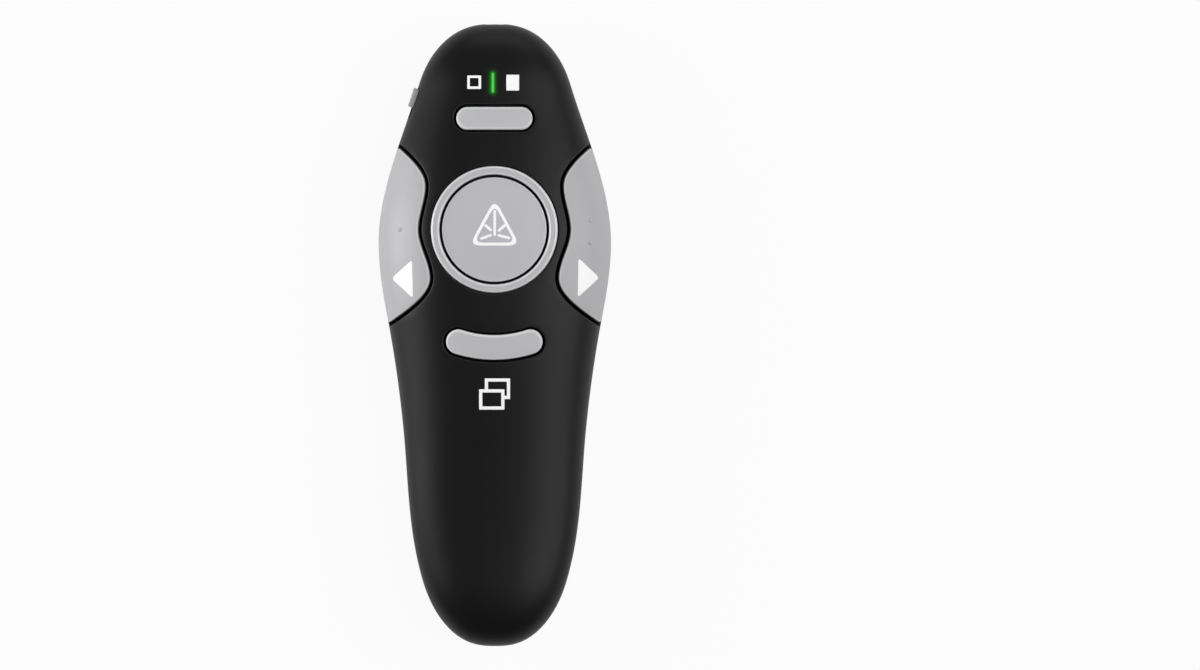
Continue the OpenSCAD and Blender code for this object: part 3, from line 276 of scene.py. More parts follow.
def lip_rows_of(skin, loop, depth, lip, base, lip_rows):
    """One edge of a plate: the (u, v) line where the face ends, the rows of the lip and the row at the
    inner face. The lip goes sideways by lip (1 - sin a) and down by lip (1 - cos a)."""
    u, v = loop[:, 0], loop[:, 1]
    p = skin.place(u, v, base)
    e = 1e-3
    across = skin.place(u + e, v, base) - skin.place(u - e, v, base)
    up = skin.place(u, v + e, base) - skin.place(u, v - e, base)
    normal = np.cross(across, up)
    size = np.linalg.norm(normal, axis=1)
    flat = np.cross(np.roll(p, -1, 0) - np.roll(p, 1, 0), [0.0, 0.0, getattr(skin, "half", 1)])
    normal = np.where((size > 1e-12)[:, None], normal, flat)
    normal /= np.linalg.norm(normal, axis=1)[:, None]
    ahead = np.roll(p, -1, 0) - p
    ahead /= np.linalg.norm(ahead, axis=1)[:, None]
    side_a, side_b = np.cross(normal, ahead), np.cross(normal, np.roll(ahead, 1, 0))
    both = 1 + np.einsum("ij,ij->i", side_a, side_b)
    # At a sharp corner the step sideways is held back, or it would run away
    mitre = (side_a + side_b) / np.maximum(both, MITRE_LEAST)[:, None]
    rim = np.stack(skin.find(p + mitre * lip, base), -1)
    a = np.radians(np.linspace(0, 90, lip_rows + 1))[1:, None, None]
    rolled = p[None] + mitre[None] * lip * (1 - np.sin(a)) - normal[None] * lip * (1 - np.cos(a))
    return rim, rolled, skin.place(u, v, base + depth)


def within(rims, p):
    """Whether points lie inside the first line and outside the others."""
    keep = inside(rims[0], p)
    for hole in rims[1:]:
        keep &= ~inside(hole, p)
    return keep


def filled(rims, lines, step):
    """Triangles between closed lines, with a grid of points `step` apart. Returns the points, the
    triangles, and the number that each given point has among the points."""
    low, high = rims[0].min(0), rims[0].max(0)
    nu, nv = np.maximum(np.ceil((high - low) / step).astype(int), 2)
    gu, gv = np.meshgrid(np.linspace(low[0], high[0], nu), np.linspace(low[1], high[1], nv))
    grid = np.stack([gu.ravel(), gv.ravel()], -1)
    given = rims + list(lines)
    grid = thin(grid[within(rims, grid)], given, GRID_CLEAR * step)
    points = np.vstack(given + [grid])
    edges, start = [], 0
    for line in given:
        k = np.arange(len(line))
        edges += np.stack([start + k, start + (k + 1) % len(line)], -1).tolist()
        start += len(line)
    out = delaunay_2d_cdt([Vector(p) for p in points.tolist()], edges, [], 0, 1e-9)
    if len(out[0]) != len(points):
        print("   triangulation changed the number of points:", len(points), "->", len(out[0]))
    points = np.array([tuple(p) for p in out[0]])
    order = np.array([k[0] if k else len(points) for k in out[3]])
    number_of = np.empty(len(points) + 1, int)
    number_of[order] = np.arange(len(order))
    tris = np.array([f for f in out[2] if len(f) == 3])
    tris = tris[within(rims, points[tris].mean(1))]
    c = points[tris]
    turn = np.cross(c[:, 1] - c[:, 0], c[:, 2] - c[:, 0])
    tris[turn < 0] = tris[turn < 0][:, ::-1]
    return points, tris, number_of


square = resample([(0, 0), (4, 0), (4, 4), (0, 4)], 1.0)
print("a square of 4 mm is filled with", len(filled([square], [], 1.0)[1]), "triangles")

# %% [markdown]
# ## The whole plate
# The third step joins the outer face, the inner face, the lips and the walls to one closed mesh.
# Each point also gets an edge value, which later says where a painted highlight lies on the rounded edges and
# where painted shade darkens the walls in the gaps.

# %% The plate builder
def mesh_object(name, points, faces, smooth=True, edge=None):
    """A mesh object whose points are given in millimetres. `edge` is kept as an attribute: 1 on the rounded
    edges, where a highlight is painted, 0 on the faces, and -1 at the foot of a wall, where shade is painted."""
    mesh = bpy.data.meshes.new(name)
    mesh.from_pydata((np.asarray(points, float) * MM).tolist(), [], faces)
    if edge is not None:
        mesh.attributes.new("edge", "FLOAT", "POINT").data.foreach_set("value", np.asarray(edge, float))
    mesh.validate()
    mesh.polygons.foreach_set("use_smooth", np.full(len(mesh.polygons), smooth))
    obj = bpy.data.objects.new(name, mesh)
    bpy.context.scene.collection.objects.link(obj)
    return obj


def plate_mesh(skin, loops, depth, lip=0.2, base=0.0, step=1.0, lip_rows=4, lines=()):
    """Points, faces and edge values of a plate. The first loop in (u, v) is its outline and the others
    its holes. The outer face lies at depth `base` and the inner one at `base + depth`. Extra closed
    lines put rows of points where a form bends sharply, and `lip` may hold one radius for each loop."""
    loops = [l if (area(l) > 0) == (k == 0) else l[::-1] for k, l in enumerate(loops)]
    sides = [lip_rows_of(skin, loop, depth, r, base, lip_rows)
             for loop, r in zip(loops, np.broadcast_to(lip, len(loops)))]
    flat, tris, number_of = filled([rim for rim, _, _ in sides], lines, step)
    n = len(flat)
    points = [skin.place(flat[:, 0], flat[:, 1], base), skin.place(flat[:, 0], flat[:, 1], base + depth)]
    edge = [np.zeros(2 * n)]
    faces = tris.tolist() + (tris[:, ::-1] + n).tolist()
    count, start = 2 * n, 0
    for rim, rolled, bottom in sides:
        m = len(rim)
        own = number_of[start:start + m]
        chain = [own] + [count + j * m + np.arange(m) for j in range(len(rolled) + 1)] + [own + n]
        points += [rolled.reshape(-1, 3), bottom]
        # Edge values: a painted highlight rises and falls over the lip, and the foot of the wall gets painted
        # shade
        rise = np.sin(np.linspace(0, np.pi, len(rolled) + 1))[1:]
        edge += [np.repeat(rise, m), -np.ones(m)]
        count += (len(rolled) + 1) * m
        for first, second in zip(chain[:-1], chain[1:]):
            faces += np.stack([first, second, np.roll(second, -1), np.roll(first, -1)], -1).tolist()
        start += m
    return np.vstack(points), faces, np.concatenate(edge)


def plate(name, skin, loops, depth, **how):
    """A plate as an object; loops are drawn in (u, v)."""
    points, faces, edge = plate_mesh(skin, loops, depth, **how)
    obj = mesh_object(name, points, faces, edge=edge)
    print(name, len(points), "points")
    return obj


def on_skin(skin, plan_loop):
    """A line drawn in the plan (x, y), laid on the skin."""
    return np.stack(skin.over(np.asarray(plan_loop, float)), -1)


test_points, test_faces, _ = plate_mesh(Sheet(lambda x, y, d: 0 * x - d), [square], 1.0)
print("as a plate it has", len(test_points), "points and", len(test_faces), "faces")

# %% [markdown]
# ## The outlines of the keys
# The openings of the keys are a circle, a pill and a curved band round the ring. An outline takes a
# gap g, so that an opening and the piece in it are drawn by the same lines, and the gap between
# them is even all round. A rectangle with rounded corners serves many small parts.

# %% Outlines of the keys
PILL_Y, PILL_L, PILL_W = 44.5, 15.8, 4.7
BAND_R, BAND_W, BAND_ANGLE = 24.2, 5.1, 17.9


def circle(centre, r, n=180):
    """A full circle without its last point, which would be its first again."""
    return arc(centre, r, 0, 360, n + 1)[:-1]


def pill(centre, length, width, g=0.0):
    """Two half-circles joined by straight lines."""
    reach, r = (length - width) / 2, width / 2 + g
    return np.vstack([arc((centre[0] + reach, centre[1]), r, -90, 90, 40),
                      arc((centre[0] - reach, centre[1]), r, 90, 270, 40)])


def band(g=0.0):
    """A band of even width along an arc, with round ends."""
    half, c = BAND_W / 2 + g, np.array([0, RING_Y])
    a0, a1 = -90 - BAND_ANGLE, -90 + BAND_ANGLE
    end0, end1 = (c + BAND_R * np.array([np.cos(a), np.sin(a)]) for a in np.radians([a0, a1]))
    return np.vstack([arc(c, BAND_R + half, a0, a1, 60), arc(end1, half, a1, a1 + 180, 40),
                      arc(c, BAND_R - half, a1, a0, 60), arc(end0, half, a0 + 180, a0 + 360, 40)])


def box_line(x0, y0, x1, y1, r=0.0):
    """A rectangle, with corners of radius r."""
    if not r:
        return np.array([(x0, y0), (x1, y0), (x1, y1), (x0, y1)], float)
    centres = [(x1 - r, y0 + r), (x1 - r, y1 - r), (x0 + r, y1 - r), (x0 + r, y0 + r)]
    return np.vstack([arc(c, r, 90 * k - 90, 90 * k, 8) for k, c in enumerate(centres)])


print("areas of the pill and the band:", round(area(pill((0, PILL_Y), PILL_L, PILL_W)), 1), "and",
      round(area(band()), 1), "square mm")

# %% [markdown]
# ## The outlines at the sides
# The paddles end inwards along an S-shaped curve, and outwards at the side of the body, so that
# both lines have to meet there. The side's own line is drawn with its points closer together
# towards the rounded ends, where it bends most.

# %% Outlines at the sides
WINDOW_R = 2.2
NOSE_Y, TAIL_Y = NOSE_C + NOSE_ROUND, TAIL_C - TAIL_ROUND
PADDLE_KNOTS = [(2.8, 21.5, -1.55), (11.6, 13.35, 0), (RING_Y, 15.8, 0), (30.6, 14.33, 0), (38.3, 19.7, 1.14)]


def plan_half(y):
    """Half-width of the plan, rounded ends included."""
    t = np.clip(np.maximum((y - NOSE_C) / NOSE_ROUND, (TAIL_C - y) / TAIL_ROUND), 0, 1)
    return along(WIDTHS, y) * (1 - t**END_POWER) ** (1 / END_POWER)


def paddle_edge(g, beyond=4.0):
    """The paddles' inner edge, moved sideways by g towards the centre line, between the two places
    where it meets the side of the body. The curve is drawn a little beyond its end knots first."""
    t = np.linspace(PADDLE_KNOTS[0][0] - beyond, PADDLE_KNOTS[-1][0] + beyond, 1600)
    slope = np.gradient(along(PADDLE_KNOTS, t), t)
    size = np.sqrt(1 + slope**2)
    x, y = along(PADDLE_KNOTS, t) - g / size, t + g * slope / size
    inner = np.flatnonzero(x < plan_half(y))
    line = np.stack([x, y], -1)[inner[0]:inner[-1] + 1]
    line[0, 0], line[-1, 0] = plan_half(line[0, 1]), plan_half(line[-1, 1])
    return line


def side_line(y0, y1, n=400):
    """The side of the body from y0 to y1, close-set towards the rounded ends."""
    y = (y0 + y1) / 2 - (y1 - y0) / 2 * np.cos(np.linspace(0, np.pi, n))
    return np.stack([plan_half(y), y], -1)


def mirrored(line):
    """The same line on the other side, run through backwards."""
    return (line * [-1, 1])[::-1]


def nose_arch(skin, r, n=60, behind=0.05):
    """Half of the window's hole: a half-circle of radius r, just behind the tip, put on the skin."""
    b = np.radians(np.linspace(0, 180, n))
    p = np.stack([r * np.cos(b), np.full(n, NOSE_Y - behind), SEAM + skin.half * r * np.sin(b)], -1)
    return np.stack(skin.find(p), -1)


edge = paddle_edge(0.0)
print("paddle edge from", np.round(edge[0], 2), "to", np.round(edge[-1], 2))

# %% [markdown]
# ## Finishes
# Every finish is built from the same few nodes: a base colour that wanders slightly, a roughness
# that wanders with it, and a fine grain as a bump. The patterns read Object coordinates, so they
# stay fixed to the piece. What differs between soft-touch lacquer, satin plastic and metal is
# mostly the roughness and the size of the grain.

# %% Helpers for finishes
# The colour of the painted shade at the foot of walls in the gaps, and how quickly it sets in down the wall
GAP_SHADE_COLOUR, GAP_SHADE_GAIN, GRAIN_HEIGHT = (0.006, 0.006, 0.0065), 5.0, 0.00005


def add(tree, kind, ins=None, out=0, **settings):
    """Adds a node with its settings. `ins` holds its inputs by name or number, each a value or the
    output of another node. The node's output `out` comes back, so calls can be nested."""
    part = tree.nodes.new("ShaderNode" + kind)
    for name, value in settings.items():
        setattr(part, name, value)
    for name, value in (ins or {}).items():
        if isinstance(value, bpy.types.NodeSocket):
            tree.links.new(value, part.inputs[name])
        else:
            part.inputs[name].default_value = value
    return part.outputs[out]


def reckon(tree, kind, a, b=0.0, **settings):
    """One step of arithmetic on two numbers or outputs."""
    return add(tree, "Math", {0: a, 1: b}, operation=kind, **settings)


def blend(tree, share, first, second):
    """The first colour at share 0 and the second at share 1."""
    return add(tree, "Mix", {"Factor": share, "A": first, "B": second}, "Result", data_type="RGBA")


def finish_of(name, colour, rough, metal=0.0, grain=9000.0, depth=0.1, drift=0.06, cloud=120.0,
              rough_drift=0.05, edge=None, **sockets):
    """A Principled finish: colour times (1 +- drift) by a cloudy noise, roughness +- rough_drift and a bump
    by a fine noise. `grain` and `cloud` are noise scales per metre. An `edge` colour, a painted highlight,
    shows where the mesh's edge attribute is 1, and a painted dark shade shows where it's below 0."""
    mat = bpy.data.materials.new(name)
    mat.use_nodes = True
    tree = mat.node_tree
    shader = tree.nodes["Principled BSDF"]
    spots = add(tree, "TexCoord", out="Object")
    cloudy = add(tree, "TexNoise", {"Vector": spots, "Scale": cloud, "Detail": 4}, "Fac")
    fine = add(tree, "TexNoise", {"Vector": spots, "Scale": grain, "Detail": 2}, "Fac")
    dark, light = [(*(min(1.0, c * share) for c in colour), 1) for share in (1 - drift, 1 + drift)]
    paint = blend(tree, cloudy, dark, light)
    # Painted light: the edge colour is a painted highlight on rounded edges, and the near-black colour is
    # painted shade at the foot of walls in the gaps
    if edge:
        edge_light_and_shade = add(tree, "Attribute", out="Fac", attribute_name="edge")
        gap_shade = reckon(tree, "MULTIPLY", edge_light_and_shade, -GAP_SHADE_GAIN, use_clamp=True)
        paint = blend(tree, gap_shade, blend(tree, edge_light_and_shade, paint, (*edge, 1)), (*GAP_SHADE_COLOUR, 1))
    spread = add(tree, "MapRange", {"Value": fine, "To Min": max(0.02, rough - rough_drift),
                                    "To Max": min(1.0, rough + rough_drift)}, "Result")
    bump = add(tree, "Bump", {"Strength": depth, "Distance": GRAIN_HEIGHT, "Height": fine}, "Normal")
    for socket, source in (("Base Color", paint), ("Roughness", spread), ("Normal", bump)):
        tree.links.new(source, shader.inputs[socket])
    shader.inputs["Metallic"].default_value = metal
    for socket, value in sockets.items():
        shader.inputs[socket.replace("_", " ")].default_value = value
    return mat


def dress(obj, mat, body=None, replaces=()):
    """Gives a piece its finish, its body and the solids that it stands for."""
    obj.data.materials.clear()
    obj.data.materials.append(mat)
    if body:
        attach(obj, body)
        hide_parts(*replaces)
    return obj


print("the grain is at most", GRAIN_HEIGHT / MM, "mm high")

# %% [markdown]
# ## The finishes of the outside
# The housing is black plastic under a soft-touch lacquer, so its colour is nearly black and its sheen is wide
# and weak. The keys are light grey lacquer on dark mouldings. Deep in the gaps their walls get painted shade,
# which makes the gaps look black. Their rounded edges, and the housing's, get a painted highlight, a slightly
# lighter colour. The round key has a violet tint, and the ring has fine metal flakes.

# %% Finishes of the outside
# Each edge colour is a painted highlight along the rounded edges
SOFT_BLACK = dict(colour=(0.0036, 0.0036, 0.0042), rough=0.43, grain=7000, depth=0.25, drift=0.1,
                  edge=(0.022, 0.022, 0.024), Specular_IOR_Level=0.28)
soft_black = finish_of("soft_black", **SOFT_BLACK)
SATIN = dict(rough=0.42, grain=6000, depth=0.15, drift=0.02)
key_grey = finish_of("key_grey", (0.51, 0.503, 0.517), edge=(0.8, 0.79, 0.8), **SATIN)
button_grey = finish_of("button_grey", (0.6, 0.593, 0.607), edge=(0.85, 0.84, 0.85), **SATIN)
cap_grey = finish_of("cap_grey", (0.6, 0.592, 0.628), 0.38, grain=6000, depth=0.12, drift=0.02,
                     edge=(0.8, 0.79, 0.82))
ring_silver = finish_of("ring_silver", (0.612, 0.607, 0.622), 0.36, metal=0.1, grain=9000, depth=0.2,
                        drift=0.2, cloud=3600, edge=(0.95, 0.95, 0.96))
print(len(bpy.data.materials), "finishes so far")

# %% [markdown]
# ## The upper shell
# The upper shell holds all the keys. It is one plate of the upper skin with a circle, a pill, a
# band, the slot of the status bar and the window of the power switch cut in, and with a bite out
# of each side where a paddle sits. The window of the switch lies on the side of the body, where the
# plan says little, so it's drawn there and looked up on the skin.

# %% Upper shell
WALL, KEY_GAP, PADDLE_GAP, KNOB_GAP, RING_HOLE = 1.8, 0.5, 0.8, 0.2, 13.2
OUTLINE_STEP, HOLE_STEP = 0.6, 0.35
POWER_Y, POWER_Z, POWER_TURN = 48.7, 13.55, np.radians(18.13)
KNOB_L, KNOB_H, KNOB_TRAVEL = 4.0, 2.4, 2.0
BAR_X, BAR_Y, BAR_L, BAR_W = -0.32, 51.75, 4.1, 0.55


def knob_window(gap):
    """The window of the power knob, drawn on the side: along it the knob's length and travel."""
    q = box_line(-KNOB_L / 2 - KNOB_TRAVEL - gap, -KNOB_H / 2 - gap, KNOB_L / 2 + gap, KNOB_H / 2 + gap)
    q = np.vstack([np.linspace(q[k], q[(k + 1) % 4], 30, endpoint=False) for k in range(4)])
    y = POWER_Y + np.cos(POWER_TURN) * q[:, 0]
    p = np.stack([-plan_half(y) * 0.998, y, POWER_Z + q[:, 1]], -1)
    return np.stack(upper.find(p), -1)


def bar_line(g):
    """The status bar's outline: a pill along the body."""
    return pill((0, 0), BAR_L, BAR_W, g)[:, ::-1] + [BAR_X, BAR_Y]


near_nose = side_line(NOSE_C, NOSE_Y, 4000)
nose_stop = float(np.interp(-WINDOW_R, -near_nose[:, 0], near_nose[:, 1]))
bite = paddle_edge(PADDLE_GAP)
right = np.vstack([side_line(TAIL_Y, bite[0, 1])[:-1], bite[:-1], side_line(bite[-1, 1], nose_stop)])
outline = np.vstack([on_skin(upper, right), nose_arch(upper, WINDOW_R)[1:-1],
                     on_skin(upper, mirrored(right))])
drawn = [circle((0, RING_Y), RING_HOLE), pill((0, PILL_Y), PILL_L, PILL_W, KEY_GAP), band(KEY_GAP)]
holes = [*(on_skin(upper, line) for line in drawn), knob_window(KNOB_GAP), on_skin(upper, bar_line(0.0))]
loops = [resample(outline, OUTLINE_STEP, upper)] + [resample(hole, HOLE_STEP, upper) for hole in holes]
# The lips of the outline, the ring, the pill, the band, the switch and the bar
top = plate("upper_housing", upper, loops, WALL, lip=[0.3, 0.15, 0.25, 0.25, 0.1, 0.08], lip_rows=5)
dress(top, soft_black, "root", ["top_shell"])

# %% [markdown]
# ## The lower shell
# The lower shell is the part of the lower skin ahead of the battery cover. Their parting line is
# half an ellipse, so the cover's nose is round and slides home without catching. Where two pieces
# meet, their lips form a fine groove.

# %% Lower shell
COVER_FRONT, COVER_BACK, COVER_EDGE_W, COVER_GAP = 18.0, 1.0, 49.0, 0.3


def cover_edge(g):
    """The cover's front edge, grown by g: half an ellipse, as far as the side of the body."""
    a = np.radians(np.linspace(0, 180, 1600))
    x = COVER_EDGE_W / 2 * np.cos(a)
    y = (COVER_FRONT + COVER_BACK + g) * np.sin(a) - COVER_BACK
    on_body = np.flatnonzero(np.abs(x) < plan_half(y))
    line = np.stack([x, y], -1)[on_body[0]:on_body[-1] + 1]
    line[0, 0], line[-1, 0] = plan_half(line[0, 1]), -plan_half(line[-1, 1])
    return line


shell_edge = cover_edge(COVER_GAP)
right = side_line(shell_edge[0, 1], nose_stop)
outline = np.vstack([on_skin(lower, right), nose_arch(lower, WINDOW_R)[1:-1],
                     on_skin(lower, mirrored(right))[:-1], on_skin(lower, shell_edge[::-1])[:-1]])
bottom = plate("lower_housing", lower, [resample(outline, OUTLINE_STEP, lower)], WALL, lip=0.18)
dress(bottom, soft_black, "root", ["bottom_shell"])

# %% [markdown]
# ## Lips and sills
# A thin lip on the lower shell reaches under the cover's edge, and stops beside the slot of the
# latch. A low sill along each side closes the view past the paddles into the body. Both are small
# plates: the lip is cut from the same skin, a little deeper, and the sill lies flat over the seam.

# %% Lips and sills
LIP_IN, LIP_T, LIP_REACH, LIP_ROOT, LIP_TOP, LATCH_SLOT = 1.9, 0.8, 1.5, 1.5, 6.6, 4.5
SILL_Y, SILL_IN, SILL_T, SILL_H, SILL_END = (-1.4, 41.5), 2.4, 1.0, 1.8, 1.4


def lip_line(g):
    """One edge of the lip that carries the cover's edge: from the latch's slot up the side."""
    line = on_skin(lower, cover_edge(g))
    p = lower.place(line[:, 0], line[:, 1], LIP_IN)
    return line[(p[:, 0] > LATCH_SLOT) & (p[:, 2] < LIP_TOP)]


def sill_height(x, y, d):
    """The sill's flat top, SILL_H over the seam."""
    return SEAM + SILL_H - d + 0 * x


lip_loop = np.vstack([lip_line(LIP_ROOT), lip_line(-LIP_REACH)[::-1]])
sill_y = np.linspace(*SILL_Y, 60)
at_end = np.minimum(sill_y - SILL_Y[0], SILL_Y[1] - sill_y) < SILL_END
sill_outer = np.stack([plan_half(sill_y) - np.where(at_end, WALL / 2, SILL_IN), sill_y], -1)
sill_inner = np.stack([plan_half(sill_y) - SILL_IN - SILL_T, sill_y], -1)
sill_loop = np.vstack([sill_outer, sill_inner[::-1]])
for name, side in (("right", 1), ("left", -1)):
    line = resample(lip_loop * [side, 1], 0.5, lower)
    lip = plate(f"edge_lip_{name}", lower, [line], LIP_T, lip=0.12, base=LIP_IN)
    dress(lip, soft_black, "root")
for name, side in (("right", 1), ("left", -1)):
    line = resample(sill_loop * [side, 1], 0.5)
    sill = plate(f"sill_{name}", Sheet(sill_height), [line], SILL_H, lip=0.08)
    dress(sill, soft_black, "root")

# %% [markdown]
# ## The battery cover
# The cover is the rest of the lower skin, from the parting line to the tail. A round recess gives
# the thumb a hold to push it off, and a pocket near the front holds the latch. The recess is part
# of the skin's formula, so extra lines round its rim put rows of points where the surface bends.

# %% Battery cover
THUMB_Y, THUMB_L, THUMB_W, THUMB_D, THUMB_BEND = -2.1, 24.0, 16.6, 0.7, 0.13
SET_BACK, SET_BACK_H = 0.2, 2.5
RIM_SHARES = (1.05, 1.0, 0.967, 0.935, 0.9, 0.87, 0.82)
PAD_L, PAD_W, PAD_BACK, PAD_GAP, LATCH_TRAVEL = 4.0, 8.0, 13.2, 0.2, 1.5


class CoverSkin(Skin):
    """The lower skin with the thumb recess, and set back a little along the parting line."""

    def place(self, u, v, d=0.0):
        """Recess depth = D t^2 (3 - 2 t), where t runs from 0 at the rim to 1 on the recess's floor."""
        p = Skin.place(self, u, v, d)
        r = np.sqrt((p[..., 0] / (THUMB_W / 2)) ** 2 + ((p[..., 1] - THUMB_Y) / (THUMB_L / 2)) ** 2)
        t = np.clip((1 - r) / THUMB_BEND, 0, 1)
        bowl = THUMB_D * t**2 * (3 - 2 * t)
        p[..., 2] += np.where(np.asarray(d) < 0.5, bowl, 0)
        p[..., 2] -= SET_BACK * np.clip(1 - (SEAM - p[..., 2]) / SET_BACK_H, 0, 1)
        return p


def rim_line(share):
    """An ellipse that is this share of the recess's rim."""
    a = np.linspace(0, 6.2832, 121)[:-1]
    return np.stack([THUMB_W / 2 * share * np.cos(a), THUMB_Y + THUMB_L / 2 * share * np.sin(a)], -1)


cover_skin = CoverSkin(-1)
front = cover_edge(0.0)
right = side_line(TAIL_Y, front[0, 1])
outline = np.vstack([on_skin(lower, right)[:-1], on_skin(lower, front)[:-1], on_skin(lower, mirrored(right))])
pocket = box_line(-PAD_W / 2 - PAD_GAP, PAD_BACK - LATCH_TRAVEL - PAD_GAP, PAD_W / 2 + PAD_GAP,
                  PAD_BACK + PAD_L + PAD_GAP, 0.5)
loops = [resample(outline, OUTLINE_STEP, lower), resample(on_skin(lower, pocket), HOLE_STEP, lower)]
rims = [on_skin(lower, rim_line(share)) for share in RIM_SHARES]
cover = plate("battery_lid", cover_skin, loops, WALL, lip=0.2, lines=rims)
dress(cover, soft_black, "cover", ["battery_cover"])

# %% [markdown]
# ## The paddles
# The two paddles are tilting keys that share the body's skin, so they are cut from the same
# formula, inside the S-shaped line. The left one has the same outline with u turned round.

# %% Paddles
PADDLE_T, PADDLE_LIFT, PADDLE_LIP = 2.0, 1.0, 0.35
inner = on_skin(upper, paddle_edge(0.0))


def lift_line(v):
    """The (u, v) line on the skin at the paddles' lower edge, PADDLE_LIFT above the seam."""
    h = along(CROWNS, v)
    angle = np.arcsin((PADDLE_LIFT / h) ** (CROWN_POWER / 2))
    return (np.pi / 2 - angle) * GIRTH


kept = inner[inner[:, 0] < lift_line(inner[:, 1])]
low_v = np.linspace(kept[-1, 1], kept[0, 1], 200)[1:-1]
paddle_line = resample(np.vstack([kept, np.stack([lift_line(low_v), low_v], -1)]), 0.4, upper)
forward = plate("forward_key", upper, [paddle_line], PADDLE_T, lip=PADDLE_LIP, lip_rows=6)
back = plate("back_key", upper, [paddle_line * [-1, 1]], PADDLE_T, lip=PADDLE_LIP, lip_rows=6)
dress(forward, key_grey, "forward_key", ["forward_paddle"])
dress(back, key_grey, "back_key", ["back_paddle"])

# %% [markdown]
# ## The keys on the crown
# The pill and the band stand 0.4 mm above the shell and have a soft lip all round. Their faces
# follow the crown, so they are plates cut from a raised copy of it.

# %% Pill and band
PROUD, KEY_T, KEY_LIP = 0.4, 2.2, 0.6
raised = Sheet(lambda x, y, d: crown(x, y, -PROUD) - d)
screen = plate("screen_key", raised, [resample(pill((0, PILL_Y), PILL_L, PILL_W), 0.25)], KEY_T, lip=KEY_LIP,
               lip_rows=6, step=0.8)
window = plate("window_key", raised, [resample(band(), 0.25)], KEY_T, lip=KEY_LIP, lip_rows=6, step=0.8)
dress(screen, button_grey, "screen_key", ["screen_button"])
dress(window, button_grey, "window_key", ["window_button"])

# %% [markdown]
# ## Turned pieces
# The ring, the round key, the nose window, the screw's shank and the cell are turned, like work on a lathe: a
# profile in (radius, height) is carried round an axis. Real mouldings have no sharp edges, so each corner of
# a profile is rounded first. A thin painted highlight along such an edge makes it look real.

# %% Profiles and lathe work
def softened(profile, r, closed=True, rows=4):
    """Each corner p becomes the curve (1 - t)^2 a + 2 t (1 - t) p + t^2 b, whose ends a and b lie on its
    two sides, at most r away from it. An open profile keeps its two ends."""
    p = np.asarray(profile, float)
    before, after = np.roll(p, 1, 0) - p, np.roll(p, -1, 0) - p
    la, lb = np.linalg.norm(before, axis=1), np.linalg.norm(after, axis=1)
    cut = np.minimum(r, 0.45 * np.minimum(la, lb))[:, None]
    a, b = p + before / la[:, None] * cut, p + after / lb[:, None] * cut
    t = np.linspace(0, 1, rows + 1)[:, None, None]
    curve = (1 - t) ** 2 * a + 2 * t * (1 - t) * p + t**2 * b
    if not closed:
        curve[:, 0], curve[:, -1] = p[0], p[-1]
    return curve.transpose(1, 0, 2).reshape(-1, 2)


def corners_of(profile, rows=4):
    """1 in the middle of each rounded corner of a softened profile, and 0 between the corners."""
    return np.tile(np.sin(np.linspace(0, np.pi, rows + 1)), len(profile) // (rows + 1))


def turned(name, profile, centre, axis="z", steps=160, edge=None):
    """A closed profile (r, h) carried round: r cos a and r sin a across the axis and h along it, all
    counted from the centre. Points on the axis are merged, so the pole is closed."""
    p = np.asarray(profile, float)
    a = np.linspace(0, 2 * np.pi, steps, endpoint=False)
    across, up = np.outer(np.cos(a), p[:, 0]), np.outer(np.sin(a), p[:, 0])
    height = np.broadcast_to(p[:, 1], (steps, len(p)))
    order = [across, up, height] if axis == "z" else [across, height, up]
    points = np.stack(order, -1) + np.asarray(centre, float)
    i, j = np.meshgrid(np.arange(steps), np.arange(len(p)), indexing="ij")
    i2, j2 = (i + 1) % steps, (j + 1) % len(p)
    faces = np.stack([i * len(p) + j, i2 * len(p) + j, i2 * len(p) + j2, i * len(p) + j2], -1)
    edge_light_and_shade = None if edge is None else np.tile(edge, steps)
    obj = mesh_object(name, points.reshape(-1, 3), faces.reshape(-1, 4).tolist(), edge=edge_light_and_shade)
    tidy(obj)
    print(name, len(obj.data.vertices), "points")
    return obj


def tidy(obj, gap=2e-6):
    """Merges double points, drops what collapsed, and points the faces outwards."""
    bm = bmesh.new()
    bm.from_mesh(obj.data)
    bmesh.ops.remove_doubles(bm, verts=bm.verts, dist=gap)
    bmesh.ops.dissolve_degenerate(bm, edges=bm.edges, dist=gap / 4)
    bmesh.ops.recalc_face_normals(bm, faces=bm.faces)
    bm.to_mesh(obj.data)
    bm.free()
    obj.data.polygons.foreach_set("use_smooth", np.full(len(obj.data.polygons), True))


print("a square with soft corners has", len(softened([(0, 0), (1, 0), (1, 1), (0, 1)], 0.2)), "points")

# %% [markdown]
# ## The ring and the round key
# The ring is a turned trim that clips into the upper shell, with a foot under the shell's edge.
# The round key slides in it: a cap with a slightly domed face, a flange that stops it, and a stem over its
# switch. Both are profiles carried round. Deep down, their walls get painted shade, which makes the gap
# between them look black, and the profile's edge values say how far down that is. Their rounded top corners
# get a painted highlight.

# %% Ring and round key
RING_R, RING_IN, RING_TOP, RING_LOW, RING_EDGE = 12.98, 11.25, 24.948, 21.084, 0.3
RING_FOOT_R, RING_FOOT_T, RING_STEP_R, RING_STEP_Z = 13.9, 0.8, 12.3, 22.9
CAP_R, CAP_TOP, CAP_LOW, CAP_WALL, DOME = 10.7, 24.55, 22.6, 1.6, 0.55
FLANGE_R, FLANGE_LOW, STEM_R, STEM_LOW, FACE_IN, GAP_SHADE_DEPTH = 11.9, 21.8, 1.7, 19.0, 0.6, 0.7
ring_line = softened([
    (RING_STEP_R, RING_LOW), (RING_FOOT_R, RING_LOW), (RING_FOOT_R, RING_LOW + RING_FOOT_T),
    (RING_R, RING_LOW + RING_FOOT_T), (RING_R, RING_TOP - RING_EDGE), (RING_R - 0.25, RING_TOP),
    (RING_IN + 0.25, RING_TOP), (RING_IN, RING_TOP - RING_EDGE), (RING_IN, RING_STEP_Z),
    (RING_STEP_R, RING_STEP_Z)], 0.22)
